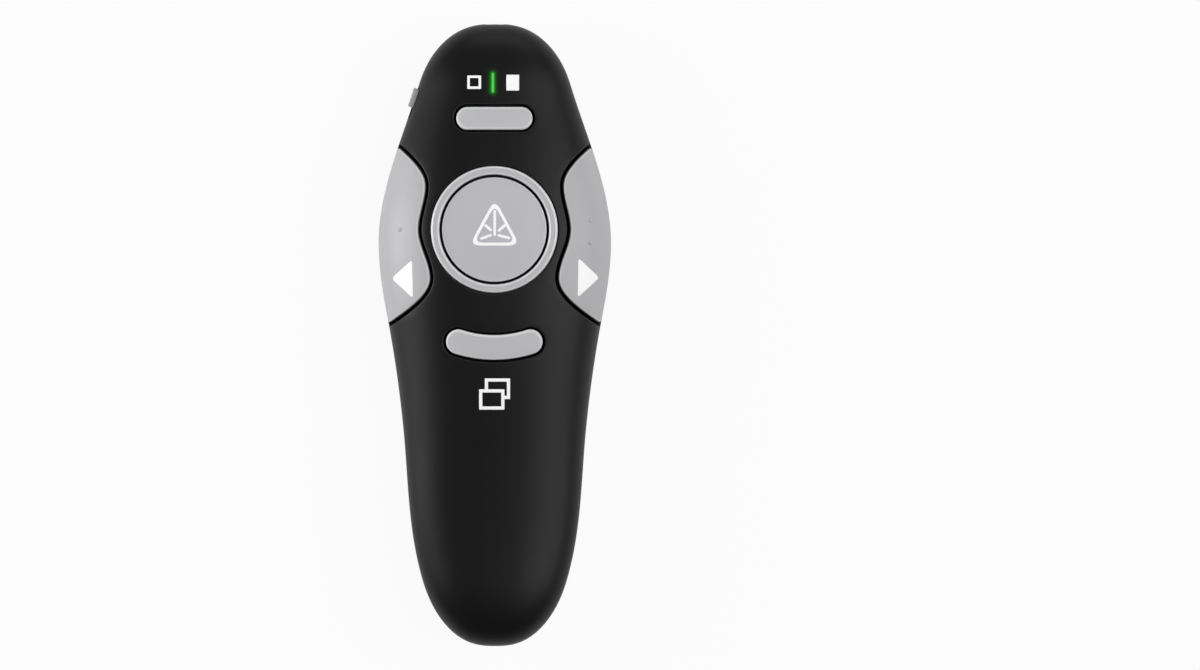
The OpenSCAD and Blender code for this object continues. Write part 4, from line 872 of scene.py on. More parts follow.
# Below that depth the ring's walls get painted shade, and its rounded corners above it get a painted
# highlight
ring_edge = np.where(ring_line[:, 1] < RING_TOP - GAP_SHADE_DEPTH, -1, corners_of(ring_line))
ring = turned("trim_ring", ring_line, (0, RING_Y, 0), edge=ring_edge)
dress(ring, ring_silver, "root", ["laser_ring"])


def cap_height(x, y, d=0.0):
    """The domed face of the round key: a parabola that rises by DOME over the rim."""
    r = np.hypot(x, y - RING_Y) / (CAP_R - FACE_IN)
    return CAP_TOP + DOME * np.clip(1 - r**2, 0, 1) - d


face_r = np.linspace(CAP_R - FACE_IN, 0, 16)
face = np.stack([face_r, cap_height(face_r, RING_Y)], -1)
rim = softened([
    (0, STEM_LOW), (STEM_R, STEM_LOW), (STEM_R, CAP_LOW), (CAP_R - CAP_WALL, CAP_LOW),
    (CAP_R - CAP_WALL, FLANGE_LOW), (FLANGE_R, FLANGE_LOW), (FLANGE_R, CAP_LOW), (CAP_R, CAP_LOW),
    (CAP_R, CAP_TOP), (CAP_R - FACE_IN, CAP_TOP)], 0.3, closed=False)
# Below that depth the cap's wall gets painted shade, and its rounded corners above it get a painted highlight
# The last corner of the rim runs on into the face, so its five points are no edge
rim_edge = np.where(rim[:, 1] < CAP_TOP - GAP_SHADE_DEPTH, -1, corners_of(rim))[:-5]
cap_edge = np.append(rim_edge, np.zeros(4 + len(face)))
cap = turned("laser_key_cap", np.vstack([rim[:-1], face]), (0, RING_Y, 0), edge=cap_edge)
dress(cap, cap_grey, "laser_key", ["laser_button"])

# %% [markdown]
# ## Dots for the thumb
# Small round dots on the paddles let the thumb find them without looking: one on the left paddle
# and two on the right one. Each is a dome whose rim is sunk a little into the key, so no edge
# shows, and it stands along the skin's own normal.

# %% Dots on the paddles
DOT_R, DOT_SINK, DOT_ROWS, DOT_SIDES = 0.5, 0.3, 9, 32
DOTS = {"back_dot": (-19.4, 21.6, 0.22, "back_key"), "forward_dot": (19.7, 18.9, 0.22, "forward_key"),
        "forward_dot_2": (19.7, 23.5, 0.14, "forward_key")}


def skin_axes(skin, x, y, base=0.0):
    """A point of the skin over (x, y), with its normal and two directions along the skin."""
    u, v = skin.over(np.array([x, y], float))
    e = 1e-2
    p = skin.place(u, v, base)
    a = skin.place(u + e, v, base) - skin.place(u - e, v, base)
    b = skin.place(u, v + e, base) - skin.place(u, v - e, base)
    n = np.cross(a, b)
    n /= np.linalg.norm(n)
    a /= np.linalg.norm(a)
    return p, n, a, np.cross(n, a)


def strip(first, second, n):
    """Quads between two closed rows of n points, whose first points have these numbers."""
    k = np.arange(n)
    m = (k + 1) % n
    return np.stack([first + k, second + k, second + m, first + m], -1).tolist()


def dot(name, skin, x, y, h):
    """A round dot: height h (1 - q^2.5) over the share q of its radius, and a skirt below the skin."""
    p, n, a, b = skin_axes(skin, x, y)
    q = np.linspace(0, 1, DOT_ROWS)
    lift = np.append(h * (1 - q**2.5), -DOT_SINK)
    turn = np.linspace(0, 2 * np.pi, DOT_SIDES, endpoint=False)
    across = np.cos(turn)[None, :, None] * a + np.sin(turn)[None, :, None] * b
    points = p + DOT_R * np.append(q, 1)[:, None, None] * across + lift[:, None, None] * n
    rows = np.arange(DOT_ROWS + 1) * DOT_SIDES
    faces = [f for first, second in zip(rows[:-1], rows[1:]) for f in strip(first, second, DOT_SIDES)]
    obj = mesh_object(name, points.reshape(-1, 3), faces + [(rows[-1] + np.arange(DOT_SIDES)).tolist()])
    tidy(obj)
    return obj


for name, (x, y, high, body) in DOTS.items():
    dress(dot(name, upper, x, y, high), key_grey, body)
print(len(DOTS), "dots")

# %% [markdown]
# ## Printed signs
# The signs are pad-printed in white ink: an arrow on each paddle, a blank and a filled page beside the status
# bar, and two windows below the band. A picture texture could hold them, but it blurs when seen closely. So
# each print is a real layer, a few hundredths of a millimetre high, cut from the skin that it lies on. The
# ink also has a little emission, painted light that makes it glow brighter than the grey keys beside it.

# %% Printed signs
# The emission is painted light: the ink glows a little under any lamp
ink_white = finish_of("ink_white", (0.97, 0.97, 0.97), 0.45, grain=14000, depth=0.08, drift=0.02,
                      Emission_Color=(1, 1, 1, 1), Emission_Strength=0.16)
INK_HEIGHT, INK_SINK, INK_LIP = 0.03, 0.05, 0.02
STROKE, THIN_STROKE, ARROW_ROUND = 0.66, 0.52, 0.75
BACK_ARROW = [(-21.05, 11.6), (-16.85, 15.4), (-16.7, 7.5)]
FORWARD_ARROW = [(21.5, 11.75), (17.08, 7.65), (17.23, 15.75)]
BLANK, PAGE = (-5.56, 50.45, -2.73, 53.22), (2.45, 50.12, 5.07, 53.37)
FRONT_WINDOW = (-3.12, -15.3, 2.08, -11.13)
REAR_LEFT, REAR_LOW, REAR_RIGHT, REAR_TOP, REAR_FOOT, REAR_SIDE = -1.94, -13.13, 3.23, -8.9, 2.04, -11.17


def print_on(name, skin, loops, body):
    """A thin layer of ink on a skin: a plate that starts just above it and reaches just below."""
    drawn = [on_skin(skin, resample(line, 0.12)) for line in loops]
    obj = plate(name, skin, drawn, INK_HEIGHT + INK_SINK, lip=INK_LIP, base=-INK_HEIGHT, step=0.6, lip_rows=2)
    return dress(obj, ink_white, body)


def rounded(corners, r):
    """A broken line with its corners rounded."""
    return softened(np.array(corners, float), r, rows=6)


def framed(x0, y0, x1, y1, stroke):
    """A rectangle and the rectangle inside it, one stroke apart."""
    return [box_line(x0, y0, x1, y1, 0.08), box_line(x0 + stroke, y0 + stroke, x1 - stroke, y1 - stroke)]


top_sheet = Sheet(lambda x, y, d: crown(x, y) - d)
# The rear window is what the front one leaves free of a second frame
rear_outer = [(REAR_LEFT, REAR_SIDE), (REAR_LEFT, REAR_TOP), (REAR_RIGHT, REAR_TOP), (REAR_RIGHT, REAR_LOW),
              (REAR_FOOT, REAR_LOW)]
rear_inner = [(REAR_FOOT, REAR_LOW + STROKE), (REAR_RIGHT - STROKE, REAR_LOW + STROKE),
              (REAR_RIGHT - STROKE, REAR_TOP - STROKE), (REAR_LEFT + STROKE, REAR_TOP - STROKE),
              (REAR_LEFT + STROKE, REAR_SIDE)]
print_on("back_sign", upper, [rounded(BACK_ARROW, ARROW_ROUND)], "back_key")
print_on("forward_sign", upper, [rounded(FORWARD_ARROW, ARROW_ROUND)], "forward_key")
print_on("blank_sign", top_sheet, framed(*BLANK, THIN_STROKE), "root")
print_on("page_sign", top_sheet, [box_line(*PAGE, 0.1)], "root")
print_on("front_window_sign", top_sheet, framed(*FRONT_WINDOW, STROKE), "root")
print_on("rear_window_sign", top_sheet, [np.array(rear_outer + rear_inner)], "root")

# %% [markdown]
# ## The sign on the round key
# The round key switches the laser on, and its sign is a triangle with five rays inside. It is
# printed on the domed cap, so its skin is the cap's own height over the plan.

# %% The sign on the round key
RAY_W = 0.55
RAYS = [((0.1, 25.3), (0.1, 20.5)), ((-1.75, 22.4), (-0.7, 21.5)), ((2.1, 22.4), (0.95, 21.4)),
        ((-2.6, 19.75), (-0.75, 20.4)), ((0.95, 20.4), (3.0, 19.85))]


def ray(a, b, width):
    """A straight stroke with round ends from a to b."""
    a, b = np.array(a, float), np.array(b, float)
    t = np.degrees(np.arctan2(*(b - a)[::-1]))
    return np.vstack([arc(b, width / 2, t - 90, t + 90, 9), arc(a, width / 2, t + 90, t + 270, 9)])


cap_sheet = Sheet(cap_height)
outer = rounded([(0.1, 27.85), (-5.1, 18.3), (5.28, 18.3)], 2.3)
hollow = rounded([(0.1, 26.6), (-4.09, 18.9), (4.27, 18.9)], 1.75)
print_on("beam_sign", cap_sheet, [outer, hollow], "laser_key")
for k, (a, b) in enumerate(RAYS):
    print_on(f"beam_ray_{k + 1}", cap_sheet, [ray(a, b, RAY_W)], "laser_key")

# %% [markdown]
# ## The nose window
# A dark red disc in the nose lets the laser's beam out. It is turned round the body's own axis and
# sits just behind the tip, so it's protected when the remote is dropped.

# %% Nose window
DISC_GAP, DISC_EDGE, DISC_SHOULDER, DISC_FACE = 0.03, 0.35, 0.14, 0.06
window_red = finish_of("window_red", (0.06, 0.002, 0.004), 0.08, grain=2500, depth=0.01,
                       Specular_IOR_Level=0.25)
disc = softened([
    (0, NOSE_Y - WALL), (WINDOW_R - DISC_GAP, NOSE_Y - WALL), (WINDOW_R - DISC_GAP, NOSE_Y - DISC_EDGE),
    (WINDOW_R - 0.3, NOSE_Y - DISC_SHOULDER), (0, NOSE_Y - DISC_FACE)], 0.2, closed=False)
nose_window = turned("nose_disc", disc, (0, 0, SEAM), axis="y", steps=64)
dress(nose_window, window_red, "root", ["nose_window"])

# %% [markdown]
# ## The status bar
# The status bar is the end of a clear rod that brings the light of a small green lamp up from the
# board, so it glows by itself: its finish has an emission that is strongest along the middle of
# the rod. Some of the light spills onto the lacquer beside it. A lamp in the slot could do that,
# but it would be noisy to render. So the housing's finish has a faint green emission too, which
# falls off with the distance from the bar.

# %% Status bar
BAR_GLOW, SPILL_GLOW, SPILL_FALL, GLOW_HALF = 0.8, 0.26, 0.25, 0.34


def plan_parts(tree):
    """The x and y of the Object coordinates."""
    parts = add(tree, "SeparateXYZ", {0: add(tree, "TexCoord", out="Object")}).node
    return parts.outputs["X"], parts.outputs["Y"]


def glow_round(mat):
    """Light that spills from the bar onto the housing: strength e^(-(d - w/2) / fall), where d is the
    distance in the plan from the bar's middle line."""
    tree = mat.node_tree
    x, y = plan_parts(tree)
    way = reckon(tree, "ABSOLUTE", reckon(tree, "SUBTRACT", y, BAR_Y * MM))
    beyond = reckon(tree, "SUBTRACT", way, (BAR_L - BAR_W) / 2 * MM)
    off = {"X": reckon(tree, "SUBTRACT", x, BAR_X * MM), "Y": reckon(tree, "MAXIMUM", beyond, 0.0)}
    far = add(tree, "VectorMath", {0: add(tree, "CombineXYZ", off)}, "Value", operation="LENGTH")
    outside = reckon(tree, "SUBTRACT", far, BAR_W * MM / 2)
    fade = reckon(tree, "EXPONENT", reckon(tree, "MULTIPLY", outside, -1.0 / (SPILL_FALL * MM)))
    glow = reckon(tree, "MULTIPLY", reckon(tree, "MINIMUM", fade, 1.0), SPILL_GLOW)
    shader = tree.nodes["Principled BSDF"]
    tree.links.new(glow, shader.inputs["Emission Strength"])
    shader.inputs["Emission Color"].default_value = (0.02, 1.0, 0.04, 1)


def fade_across(mat):
    """The bar's own light: strength (1 - (x / w)^2), with x the distance from its middle line."""
    tree = mat.node_tree
    off = reckon(tree, "SUBTRACT", plan_parts(tree)[0], BAR_X * MM)
    square = reckon(tree, "POWER", off, 2.0)
    rest = add(tree, "Math", {0: square, 1: -1.0 / (GLOW_HALF * MM) ** 2, 2: 1.0}, operation="MULTIPLY_ADD")
    glow = reckon(tree, "MULTIPLY", rest, BAR_GLOW)
    tree.links.new(glow, tree.nodes["Principled BSDF"].inputs["Emission Strength"])


lit_black = finish_of("soft_black_lit", **SOFT_BLACK)
glow_round(lit_black)
dress(top, lit_black)
bar_green = finish_of("bar_green", (0.02, 0.3, 0.03), 0.25, grain=4000, depth=0.02,
                      Emission_Color=(0.07, 0.55, 0.06, 1))
fade_across(bar_green)
bar_end = resample(on_skin(upper, bar_line(-0.03)), 0.12, upper)
status_bar = plate("status_bar", upper, [bar_end], 1.4, lip=0.08, base=0.02, step=0.12)
dress(status_bar, bar_green, "root", ["light_pipe"])

# %% [markdown]
# ## The power knob
# The knob on the left edge slides along its window and has three grooves for the thumb nail. A thin
# plate behind it closes the window at both ends of its travel. Both are plates of a flat skin of
# their own, which stands along the side of the body.

# %% Power knob
KNOB_PROUD, PLATE_IN, PLATE_T, PLATE_HALF = 0.8, 2.65, 0.5, (4.2, 1.6)
GROOVES, GROOVE_R = (-1.0, 0.0, 1.0), 0.16


class SideWall:
    """The body's side at the power switch: u runs along it to the tail, v up and d inwards from the
    knob's face. The function back(u) gives how far that face is set back."""

    def __init__(self, back=lambda u: 0 * u):
        self.back = back
        self.start = np.array([-float(along(WIDTHS, POWER_Y)), POWER_Y, POWER_Z])
        self.ahead = np.array([np.sin(POWER_TURN), np.cos(POWER_TURN), 0])
        self.inwards = np.array([np.cos(POWER_TURN), -np.sin(POWER_TURN), 0])

    def place(self, u, v, d=0.0):
        """start + d inwards - u ahead + v up."""
        u, v, d = (a[..., None] for a in np.broadcast_arrays(np.asarray(u, float), v, d))
        deep = d - KNOB_PROUD + np.where(d < 0.5, self.back(u), 0)
        return self.start + deep * self.inwards - u * self.ahead + v * [0, 0, 1]

    def find(self, p, d=0.0):
        """The (u, v) of points on or near the side."""
        off = p - self.start
        return -off @ self.ahead, off[..., 2]


def grooves(u):
    """Each groove is a bell curve, GROOVE_R deep: sum of r e^(-((u - place) / (0.7 r))^2)."""
    return sum(GROOVE_R * np.exp(-((u - place) / (0.7 * GROOVE_R)) ** 2) for place in GROOVES)


knob_grey = finish_of("knob_grey", (0.5, 0.495, 0.505), 0.32, grain=8000, depth=0.1, drift=0.02)
knob_face = resample(box_line(-KNOB_L / 2, -KNOB_H / 2, KNOB_L / 2, KNOB_H / 2, 0.3), 0.1)
plate_face = resample(box_line(-PLATE_HALF[0], -PLATE_HALF[1], *PLATE_HALF, 0.2), 0.3)
knob = plate("knob_grip", SideWall(grooves), [knob_face], KNOB_PROUD + PLATE_IN, lip=0.18, step=0.1)
shutter = plate("knob_shutter", SideWall(), [plate_face], PLATE_T, lip=0.08, base=KNOB_PROUD + PLATE_IN)
dress(knob, knob_grey, "power_slider", ["power_knob"])
dress(shutter, soft_black, "power_slider")

# %% [markdown]
# ## The latch in the cover
# A ridged pad slides the latch back, and its tongue hooks under the shell. The pad and the tongue's
# end are black rubbery plastic, and the tongue between them is a pale moulding. The solid is one
# piece, so several meshes stand for it here, one for each finish, and all ride on its body. Each is
# a block: a rounded rectangle in the plan, an outer face that may carry ridges, a flat back and a
# lip between. The face is a height over the plan, so the grooves between the ridges are soft bells
# and not cuts with sharp corners.

# %% Latch
TONGUE_Z, TONGUE_T, TONGUE_W, TONGUE_END, TIP_L = 1.9, 1.0, 5.0, 21.5, 1.3
PAD_Z, PAD_IN, NECK_Z = 0.15, 1.0, 0.9
part_black = finish_of("part_black", (0.012, 0.012, 0.013), 0.4, grain=6000, depth=0.15, drift=0.1)
latch_white = finish_of("latch_white", (0.62, 0.63, 0.64), 0.35, grain=9000, depth=0.05, drift=0.02)


def block(name, low, high, r=0.15, ridges=(), depth=0.25, wide=0.22, side=-1, lip=None):
    """A rounded block whose outer face (the lower one at side -1) is a height over the plan. At each
    ridge place c a groove runs along X: depth e^(-((y - c) / wide)^2)."""
    face = high[2] if side > 0 else low[2]

    def height(x, y, d):
        """The face at d = 0, and the flat back at the block's thickness."""
        cuts = sum((depth * np.exp(-((y - c) / wide) ** 2) for c in ridges), 0 * y)
        return face - side * (d + np.where(np.asarray(d) < 0.3, cuts, 0))

    line = box_line(low[0], low[1], high[0], high[1], r) * [side, 1]
    return plate(name, Sheet(height, side), [resample(line, 0.25)], high[2] - low[2], lip=lip or r, step=0.25)


def latch_block(name, half, reach, rise, **how):
    """A block in the middle of the cover, given by half its width and its two ends in Y and in Z."""
    return block(name, (-half, reach[0], rise[0]), (half, reach[1], rise[1]), **how)


pad = latch_block("latch_pad", PAD_W / 2, (PAD_BACK, PAD_BACK + PAD_L), (PAD_Z, PAD_IN),
                  ridges=PAD_BACK + np.arange(0.5, PAD_L, 1))
tongue_rise = (TONGUE_Z, TONGUE_Z + TONGUE_T)
tongue = latch_block("latch_tongue", TONGUE_W / 2, (PAD_BACK, TONGUE_END - TIP_L), tongue_rise)
tip = latch_block("latch_tip", TONGUE_W / 2, (TONGUE_END - TIP_L, TONGUE_END), tongue_rise,
                  ridges=(TONGUE_END - 0.9, TONGUE_END - 0.4), depth=0.15)
neck = latch_block("latch_neck", TONGUE_W / 2, (PAD_BACK + 1, PAD_BACK + 3), (NECK_Z, TONGUE_Z + 0.1))
for piece in (pad, neck, tip):
    dress(piece, part_black, "latch")
dress(tongue, latch_white, "latch", ["cover_latch"])

# %% [markdown]
# ## The latch's pocket and the thumb's ridges
# Behind the pad the cover has a floor with a slot for the latch's neck. In the thumb recess stand
# three ridges, which end level with the skin. They are the cover's own plastic, so they have its
# finish and ride on its body.

# %% Pocket and ridges
POCKET_Z, POCKET_MORE, NECK_SLOT = 1.1, 0.6, (-2.7, 12.5, 2.7, 16.4)
RIDGE_HALF_L, RIDGE_HALF_W, RIDGE_H, RIDGES_Y = 3.5, 0.35, 0.4, (5.4, 3.4, 1.4)
pocket_floor = box_line(-PAD_W / 2 - POCKET_MORE, PAD_BACK - LATCH_TRAVEL - POCKET_MORE,
                        PAD_W / 2 + POCKET_MORE, PAD_BACK + PAD_L + 0.5)
pocket_sheet = Sheet(lambda x, y, d: POCKET_Z + d, -1)
floor_loops = [resample(line, 0.6) for line in (pocket_floor, box_line(*NECK_SLOT))]
latch_floor = plate("latch_floor", pocket_sheet, floor_loops, WALL - POCKET_Z, lip=0.05)
dress(latch_floor, soft_black, "cover")
for k, y in enumerate(RIDGES_Y):
    ridge = block(f"thumb_ridge_{k + 1}", (-RIDGE_HALF_L, y - RIDGE_HALF_W, THUMB_D - RIDGE_H),
                  (RIDGE_HALF_L, y + RIDGE_HALF_W, THUMB_D + RIDGE_H), r=0.34, lip=0.2)
    dress(ridge, soft_black, "cover")

# %% [markdown]
# ## Finishes of the inner pieces
# With the cover off, the inside shows: a glossy dark tray, the cell, a screw, the receiver, and a
# little of the board past the keys. Glossy plastic has a clear coat over a rough base here. Bare
# metals differ mostly in colour, and in how fine their grain is.

# %% Finishes of the inside
tray_black = finish_of("tray_black", (0.075, 0.075, 0.08), 0.14, grain=3000, depth=0.03, drift=0.08,
                       Coat_Weight=0.4)
board_green = finish_of("board_green", (0.01, 0.09, 0.035), 0.35, grain=1500, depth=0.1, drift=0.15)
cell_dark = finish_of("cell_dark", (0.05, 0.052, 0.056), 0.3, grain=5000, depth=0.04, drift=0.06)
tongue_white = finish_of("tongue_white", (0.75, 0.75, 0.73), 0.4, grain=6000, depth=0.06, drift=0.02)
lens_glass = finish_of("lens_glass", (0.6, 0.72, 0.8), 0.05, grain=1000, depth=0.0, drift=0.02,
                       Transmission_Weight=0.9)
led_white = finish_of("led_white", (0.7, 0.75, 0.62), 0.3, grain=4000, depth=0.03, drift=0.04)
# Each metal's colour, roughness, share of metal, grain, depth and drift
METALS = {
    "tin_plate": ((0.74, 0.74, 0.75), 0.26, 0.6, 7000, 0.04, 0.03),
    "contact_plate": ((0.6, 0.59, 0.56), 0.28, 1.0, 5000, 0.06, 0.06),
    "barrel_brass": ((0.6, 0.42, 0.16), 0.25, 1.0, 5000, 0.05, 0.05),
    "screw_brass": ((0.7, 0.62, 0.42), 0.25, 1.0, 5000, 0.05, 0.05),
    "gold_strip": ((0.85, 0.62, 0.22), 0.22, 1.0, 6000, 0.04, 0.04),
}
metal = {name: finish_of(name, *values) for name, values in METALS.items()}
print(len(bpy.data.materials), "finishes in all")

# %% [markdown]
# ## The tail screw
# One screw at the tail joins both shells through the tray's deck. Its pan head has a cross, which
# is a dip in the formula of its face: a Boolean cut would do as well, but would leave sharp edges
# that a real, pressed cross doesn't have.

# %% Tail screw
SCREW_Y, HEAD_R, HEAD_H, SHANK_R, DECK_Z, BOARD_Z = -56.0, 2.4, 1.0, 1.1, 7.0, 15.2
CROSS_DEPTH, CROSS_HALF_W, CROSS_HALF_L, PAN, SHANK_MORE = 0.6, 0.3, 1.25, 0.4, 0.1


def screw_face(x, y, d):
    """A pan head with a cross: the face rises as pan (r / R)^4, and the cross sinks by the larger of
    two bars, depth e^(-(a / w)^4 - (b / l)^8), with a across a bar and b along it."""
    y = y - SCREW_Y
    bars = [np.exp(-(a / CROSS_HALF_W) ** 4 - (b / CROSS_HALF_L) ** 8) for a, b in ((x, y), (y, x))]
    cross = CROSS_DEPTH * np.maximum(*bars) + PAN * (np.hypot(x, y) / HEAD_R) ** 4
    return DECK_Z - HEAD_H + d + np.where(np.asarray(d) < 0.3, cross, 0)


head_line = resample(circle((0, SCREW_Y), HEAD_R), 0.12)
head = plate("screw_head", Sheet(screw_face, -1), [head_line], HEAD_H, lip=0.2, step=0.12)
shank_low, shank_top = DECK_Z - SHANK_MORE, BOARD_Z - SHANK_MORE
shank_line = softened([(0, shank_low), (SHANK_R, shank_low), (SHANK_R, shank_top), (0, shank_top)], 0.2,
                      closed=False)
shank = turned("screw_shank", shank_line, (0, SCREW_Y, 0), steps=32)
dress(head, metal["screw_brass"], "root", ["tail_screw"])
dress(shank, metal["screw_brass"], "root")

# %% [markdown]
# ## The cell
# The AAA cell is a steel can with a nub at its positive end, in a printed sleeve that folds over
# both ends. Two turned pieces stand for the one solid, because the can and the sleeve have
# different finishes.

# %% Cell
CELL = (5.35476, 0.0, 8.6)
CELL_R, CELL_BACK, CELL_SHOULDER, CELL_FRONT, NUB_R, RIM_R = 5.25, -47.1, -3.6, -2.6, 1.9, 4.3
SLEEVE_T, CAN_IN = 0.12, 0.15
can_r, can_back, can_front = CELL_R - SLEEVE_T, CELL_BACK + CAN_IN, CELL_SHOULDER - CAN_IN
can_line = softened([
    (0, can_back), (can_r, can_back), (can_r, can_front), (2.6, can_front), (2.4, -3.3), (NUB_R, -3.2),
    (NUB_R, CELL_FRONT), (0, CELL_FRONT)], 0.3, closed=False)
sleeve_line = softened([
    (CELL_R, CELL_BACK), (CELL_R, CELL_SHOULDER), (RIM_R, CELL_SHOULDER), (RIM_R, CELL_SHOULDER - SLEEVE_T),
    (CELL_R - 0.14, CELL_SHOULDER - SLEEVE_T), (CELL_R - 0.14, CELL_BACK + SLEEVE_T),
    (RIM_R, CELL_BACK + SLEEVE_T), (RIM_R, CELL_BACK)], 0.35)
can = turned("cell_can", can_line, CELL, axis="y", steps=96)
sleeve = turned("cell_sleeve", sleeve_line, CELL, axis="y", steps=96)
dress(can, metal["contact_plate"], "root", ["battery_cell"])
dress(sleeve, cell_dark, "root")

# %% [markdown]
# ## The spring
# The negative contact is a plate with a coiled wire that presses on the cell and narrows towards
# it. The wire's middle line is a helix, and a small circle is carried along it. A curve object
# with a bevel could draw it too, but it would have to be made a mesh before the export.

# %% Spring
BAY_END, CONTACT_T, CONTACT_HALF, WIRE_R, WIRE_GAP = -50.1, 0.4, 3.6, 0.3, 0.02
COIL_TURNS, COIL_WIDE, COIL_NARROW = 3.5, 3.2, 1.9


def swept(name, path, r, sides=10):
    """A round wire along a path: at each point the circle r (cos b n + sin b m) lies across the
    direction of travel, with n and m found from a direction that never runs along the path."""
    ahead = np.gradient(path, axis=0)
    ahead /= np.linalg.norm(ahead, axis=1)[:, None]
    n = np.cross(ahead, [0.0, 1.0, 0.0])
    n /= np.linalg.norm(n, axis=1)[:, None]
    m = np.cross(ahead, n)
    b = np.linspace(0, 2 * np.pi, sides, endpoint=False)
    around = np.cos(b)[None, :, None] * n[:, None] + np.sin(b)[None, :, None] * m[:, None]
    points = path[:, None] + r * around
    faces = [f for k in range(len(path) - 1) for f in strip(k * sides, (k + 1) * sides, sides)]
    last = (len(path) - 1) * sides
    faces += [list(range(sides)), list(range(last, last + sides))]
    obj = mesh_object(name, points.reshape(-1, 3), faces)
    tidy(obj)
    print(name, len(obj.data.vertices), "points")
    return obj


t = np.linspace(0, 1, 180)
coil_r, turn = COIL_WIDE + (COIL_NARROW - COIL_WIDE) * t, 2 * np.pi * COIL_TURNS * t
coil_back, coil_front = BAY_END + CONTACT_T + WIRE_R, CELL_BACK - WIRE_R - WIRE_GAP
coil = np.stack([CELL[0] + coil_r * np.cos(turn), coil_back + (coil_front - coil_back) * t,
                 CELL[2] + coil_r * np.sin(turn)], -1)
spring = swept("cell_spring", coil, WIRE_R)
spring_plate = block("spring_plate", (CELL[0] - CONTACT_HALF, BAY_END, CELL[2] - CONTACT_HALF),
                     (CELL[0] + CONTACT_HALF, BAY_END + CONTACT_T, CELL[2] + CONTACT_HALF))
dress(spring, metal["contact_plate"], "root", ["negative_contact"])
dress(spring_plate, metal["contact_plate"], "root")

# %% [markdown]
# ## The tray
# The tray's deck follows the skin of the cover at an even distance, so its outline is the same
# formula at one height. Rounded lips run round the deck and round both bays: a glossy moulding shows
# them as thin bright lines. A rail stands out above the deck, for the cover to hook over. The
# trough of the cell and the walls of the bays stay as the solid has them.

# %% Tray
TRAY_IN, TRAY_FRONT, DECK_T, DECK_OUT = 2.2, 16.1, 1.2, 0.1
RAIL_Z, RAIL_TOP, RAIL_OUT, SIDE_Z, SIDE_GAP = 9.2, 10.2, 0.03, 8.0, 0.2
CELL_BAY = (-0.145, -50.1, 10.855, -2.0)
GRIP_BAY, PLUG_BAY = (-15.545, -10.1, -0.945, 3.1), (-14.545, -1.945, 15.3)


def tray_line(z, inset=0.0):
    """The outline where the skin, TRAY_IN inside, has the height z: x = w left (1 - rise^p)^(1/p), with
    rise = (seam - z) / (h left)."""
    y = np.linspace(TAIL_Y, TRAY_FRONT - inset, 8000)
    w, h = lower.sizes(y, TRAY_IN)
    left = (1 - np.clip((TAIL_C - y) / (TAIL_ROUND - TRAY_IN), 0, 1) ** END_POWER) ** (1 / END_POWER)
    rise = np.clip((SEAM - z) / np.maximum(h * left, 1e-9), 0, 1)
    x = w * left * (1 - rise**BELLY_POWER) ** (1 / BELLY_POWER) - inset
    line = np.stack([x, y], -1)[x > 0]
    line[0, 0] = 0
    return resample(np.vstack([line, mirrored(line)[:-1]]), 0.5)


def stepped_bay(grip, plug):
    """The receiver's bay: a rectangle for its grip, and a narrower stretch ahead of it for its plug."""
    x0, y0, x1, y1 = grip
    left, right, front = plug
    return np.array([(x0, y0), (x1, y0), (x1, y1), (right, y1), (right, front), (left, front), (left, y1),
                     (x0, y1)])


def tray_plate(name, z, loops, depth, lip):
    """A flat plate of the tray whose outer face looks down from the height z."""
    piece = plate(name, Sheet(lambda x, y, d: z + d + 0 * x, -1), loops, depth, lip=lip)
    return dress(piece, tray_black, "root")


# The underside's u runs against X, so the bays are mirrored
bay_lines = (box_line(*CELL_BAY, 0.15), stepped_bay(GRIP_BAY, PLUG_BAY))
bays = [resample(line * [-1, 1], 0.4) for line in bay_lines]
side = [tray_line(DECK_Z), tray_line(DECK_Z, 1.0)]
rail = [tray_line(RAIL_Z), tray_line(DECK_Z, 0.5)]
tray_plate("tray_deck", DECK_Z - DECK_OUT, [tray_line(DECK_Z), *bays], DECK_T, 0.25)
tray_plate("tray_wall", SIDE_Z, side, RAIL_TOP - SIDE_Z - SIDE_GAP, 0.05)
tray_plate("tray_rail", RAIL_Z - RAIL_OUT, rail, RAIL_TOP - RAIL_Z, 0.15)

# %% [markdown]
# ## The pieces that keep their solids
# Most inner pieces are seen only through a gap, so they keep the shape of their solids and get a
# finish. A Weld joins the loose triangles of a solid, a planar Decimate joins those of one flat
# face, and a fine Bevel breaks the edges, which a moulded or pressed piece never has sharp.

# %% Inner pieces
KEEP = {
    "battery_tray": (tray_black, 0.2), "circuit_board": (board_green, 0), "status_led": (led_white, 0.08),
    "laser_lens": (lens_glass, 0.1), "plug_tongue": (tongue_white, 0.08), "receiver_grip": (part_black, 0.12),
    "radio_chip": (part_black, 0.08), "switch_lever": (part_black, 0.1), "press_switches": (part_black, 0.15),
    "crystal": (metal["tin_plate"], 0.1), "slide_switch": (metal["tin_plate"], 0.15),
    "plug_shell": (metal["tin_plate"], 0.1), "laser_barrel": (metal["barrel_brass"], 0.15),
    "positive_contact": (metal["contact_plate"], 0.08), "board_screws": (metal["contact_plate"], 0.1),
    "plug_contacts": (metal["gold_strip"], 0.04),
}
KEEP |= {f"{key}_plunger": (part_black, 0.15) for key in ("laser", "screen", "window", "back", "forward")}


def break_edges(obj, width):
    """Weld, planar Decimate and Bevel, so that each sharp edge of a solid becomes a fine round."""
    obj.modifiers.new("join", "WELD").merge_threshold = 1e-6
    flat = obj.modifiers.new("flat faces", "DECIMATE")
    flat.decimate_type, flat.angle_limit = "DISSOLVE", np.radians(0.5)
    edge_round = obj.modifiers.new("edges", "BEVEL")
    edge_round.width, edge_round.segments = width * MM, 2
    edge_round.limit_method, edge_round.angle_limit = "ANGLE", np.radians(40)


for name, (mat, width) in KEEP.items():
    dress(nodes[name], mat)
    if width:
        break_edges(nodes[name], width)
print(len(KEEP), "solids dressed")

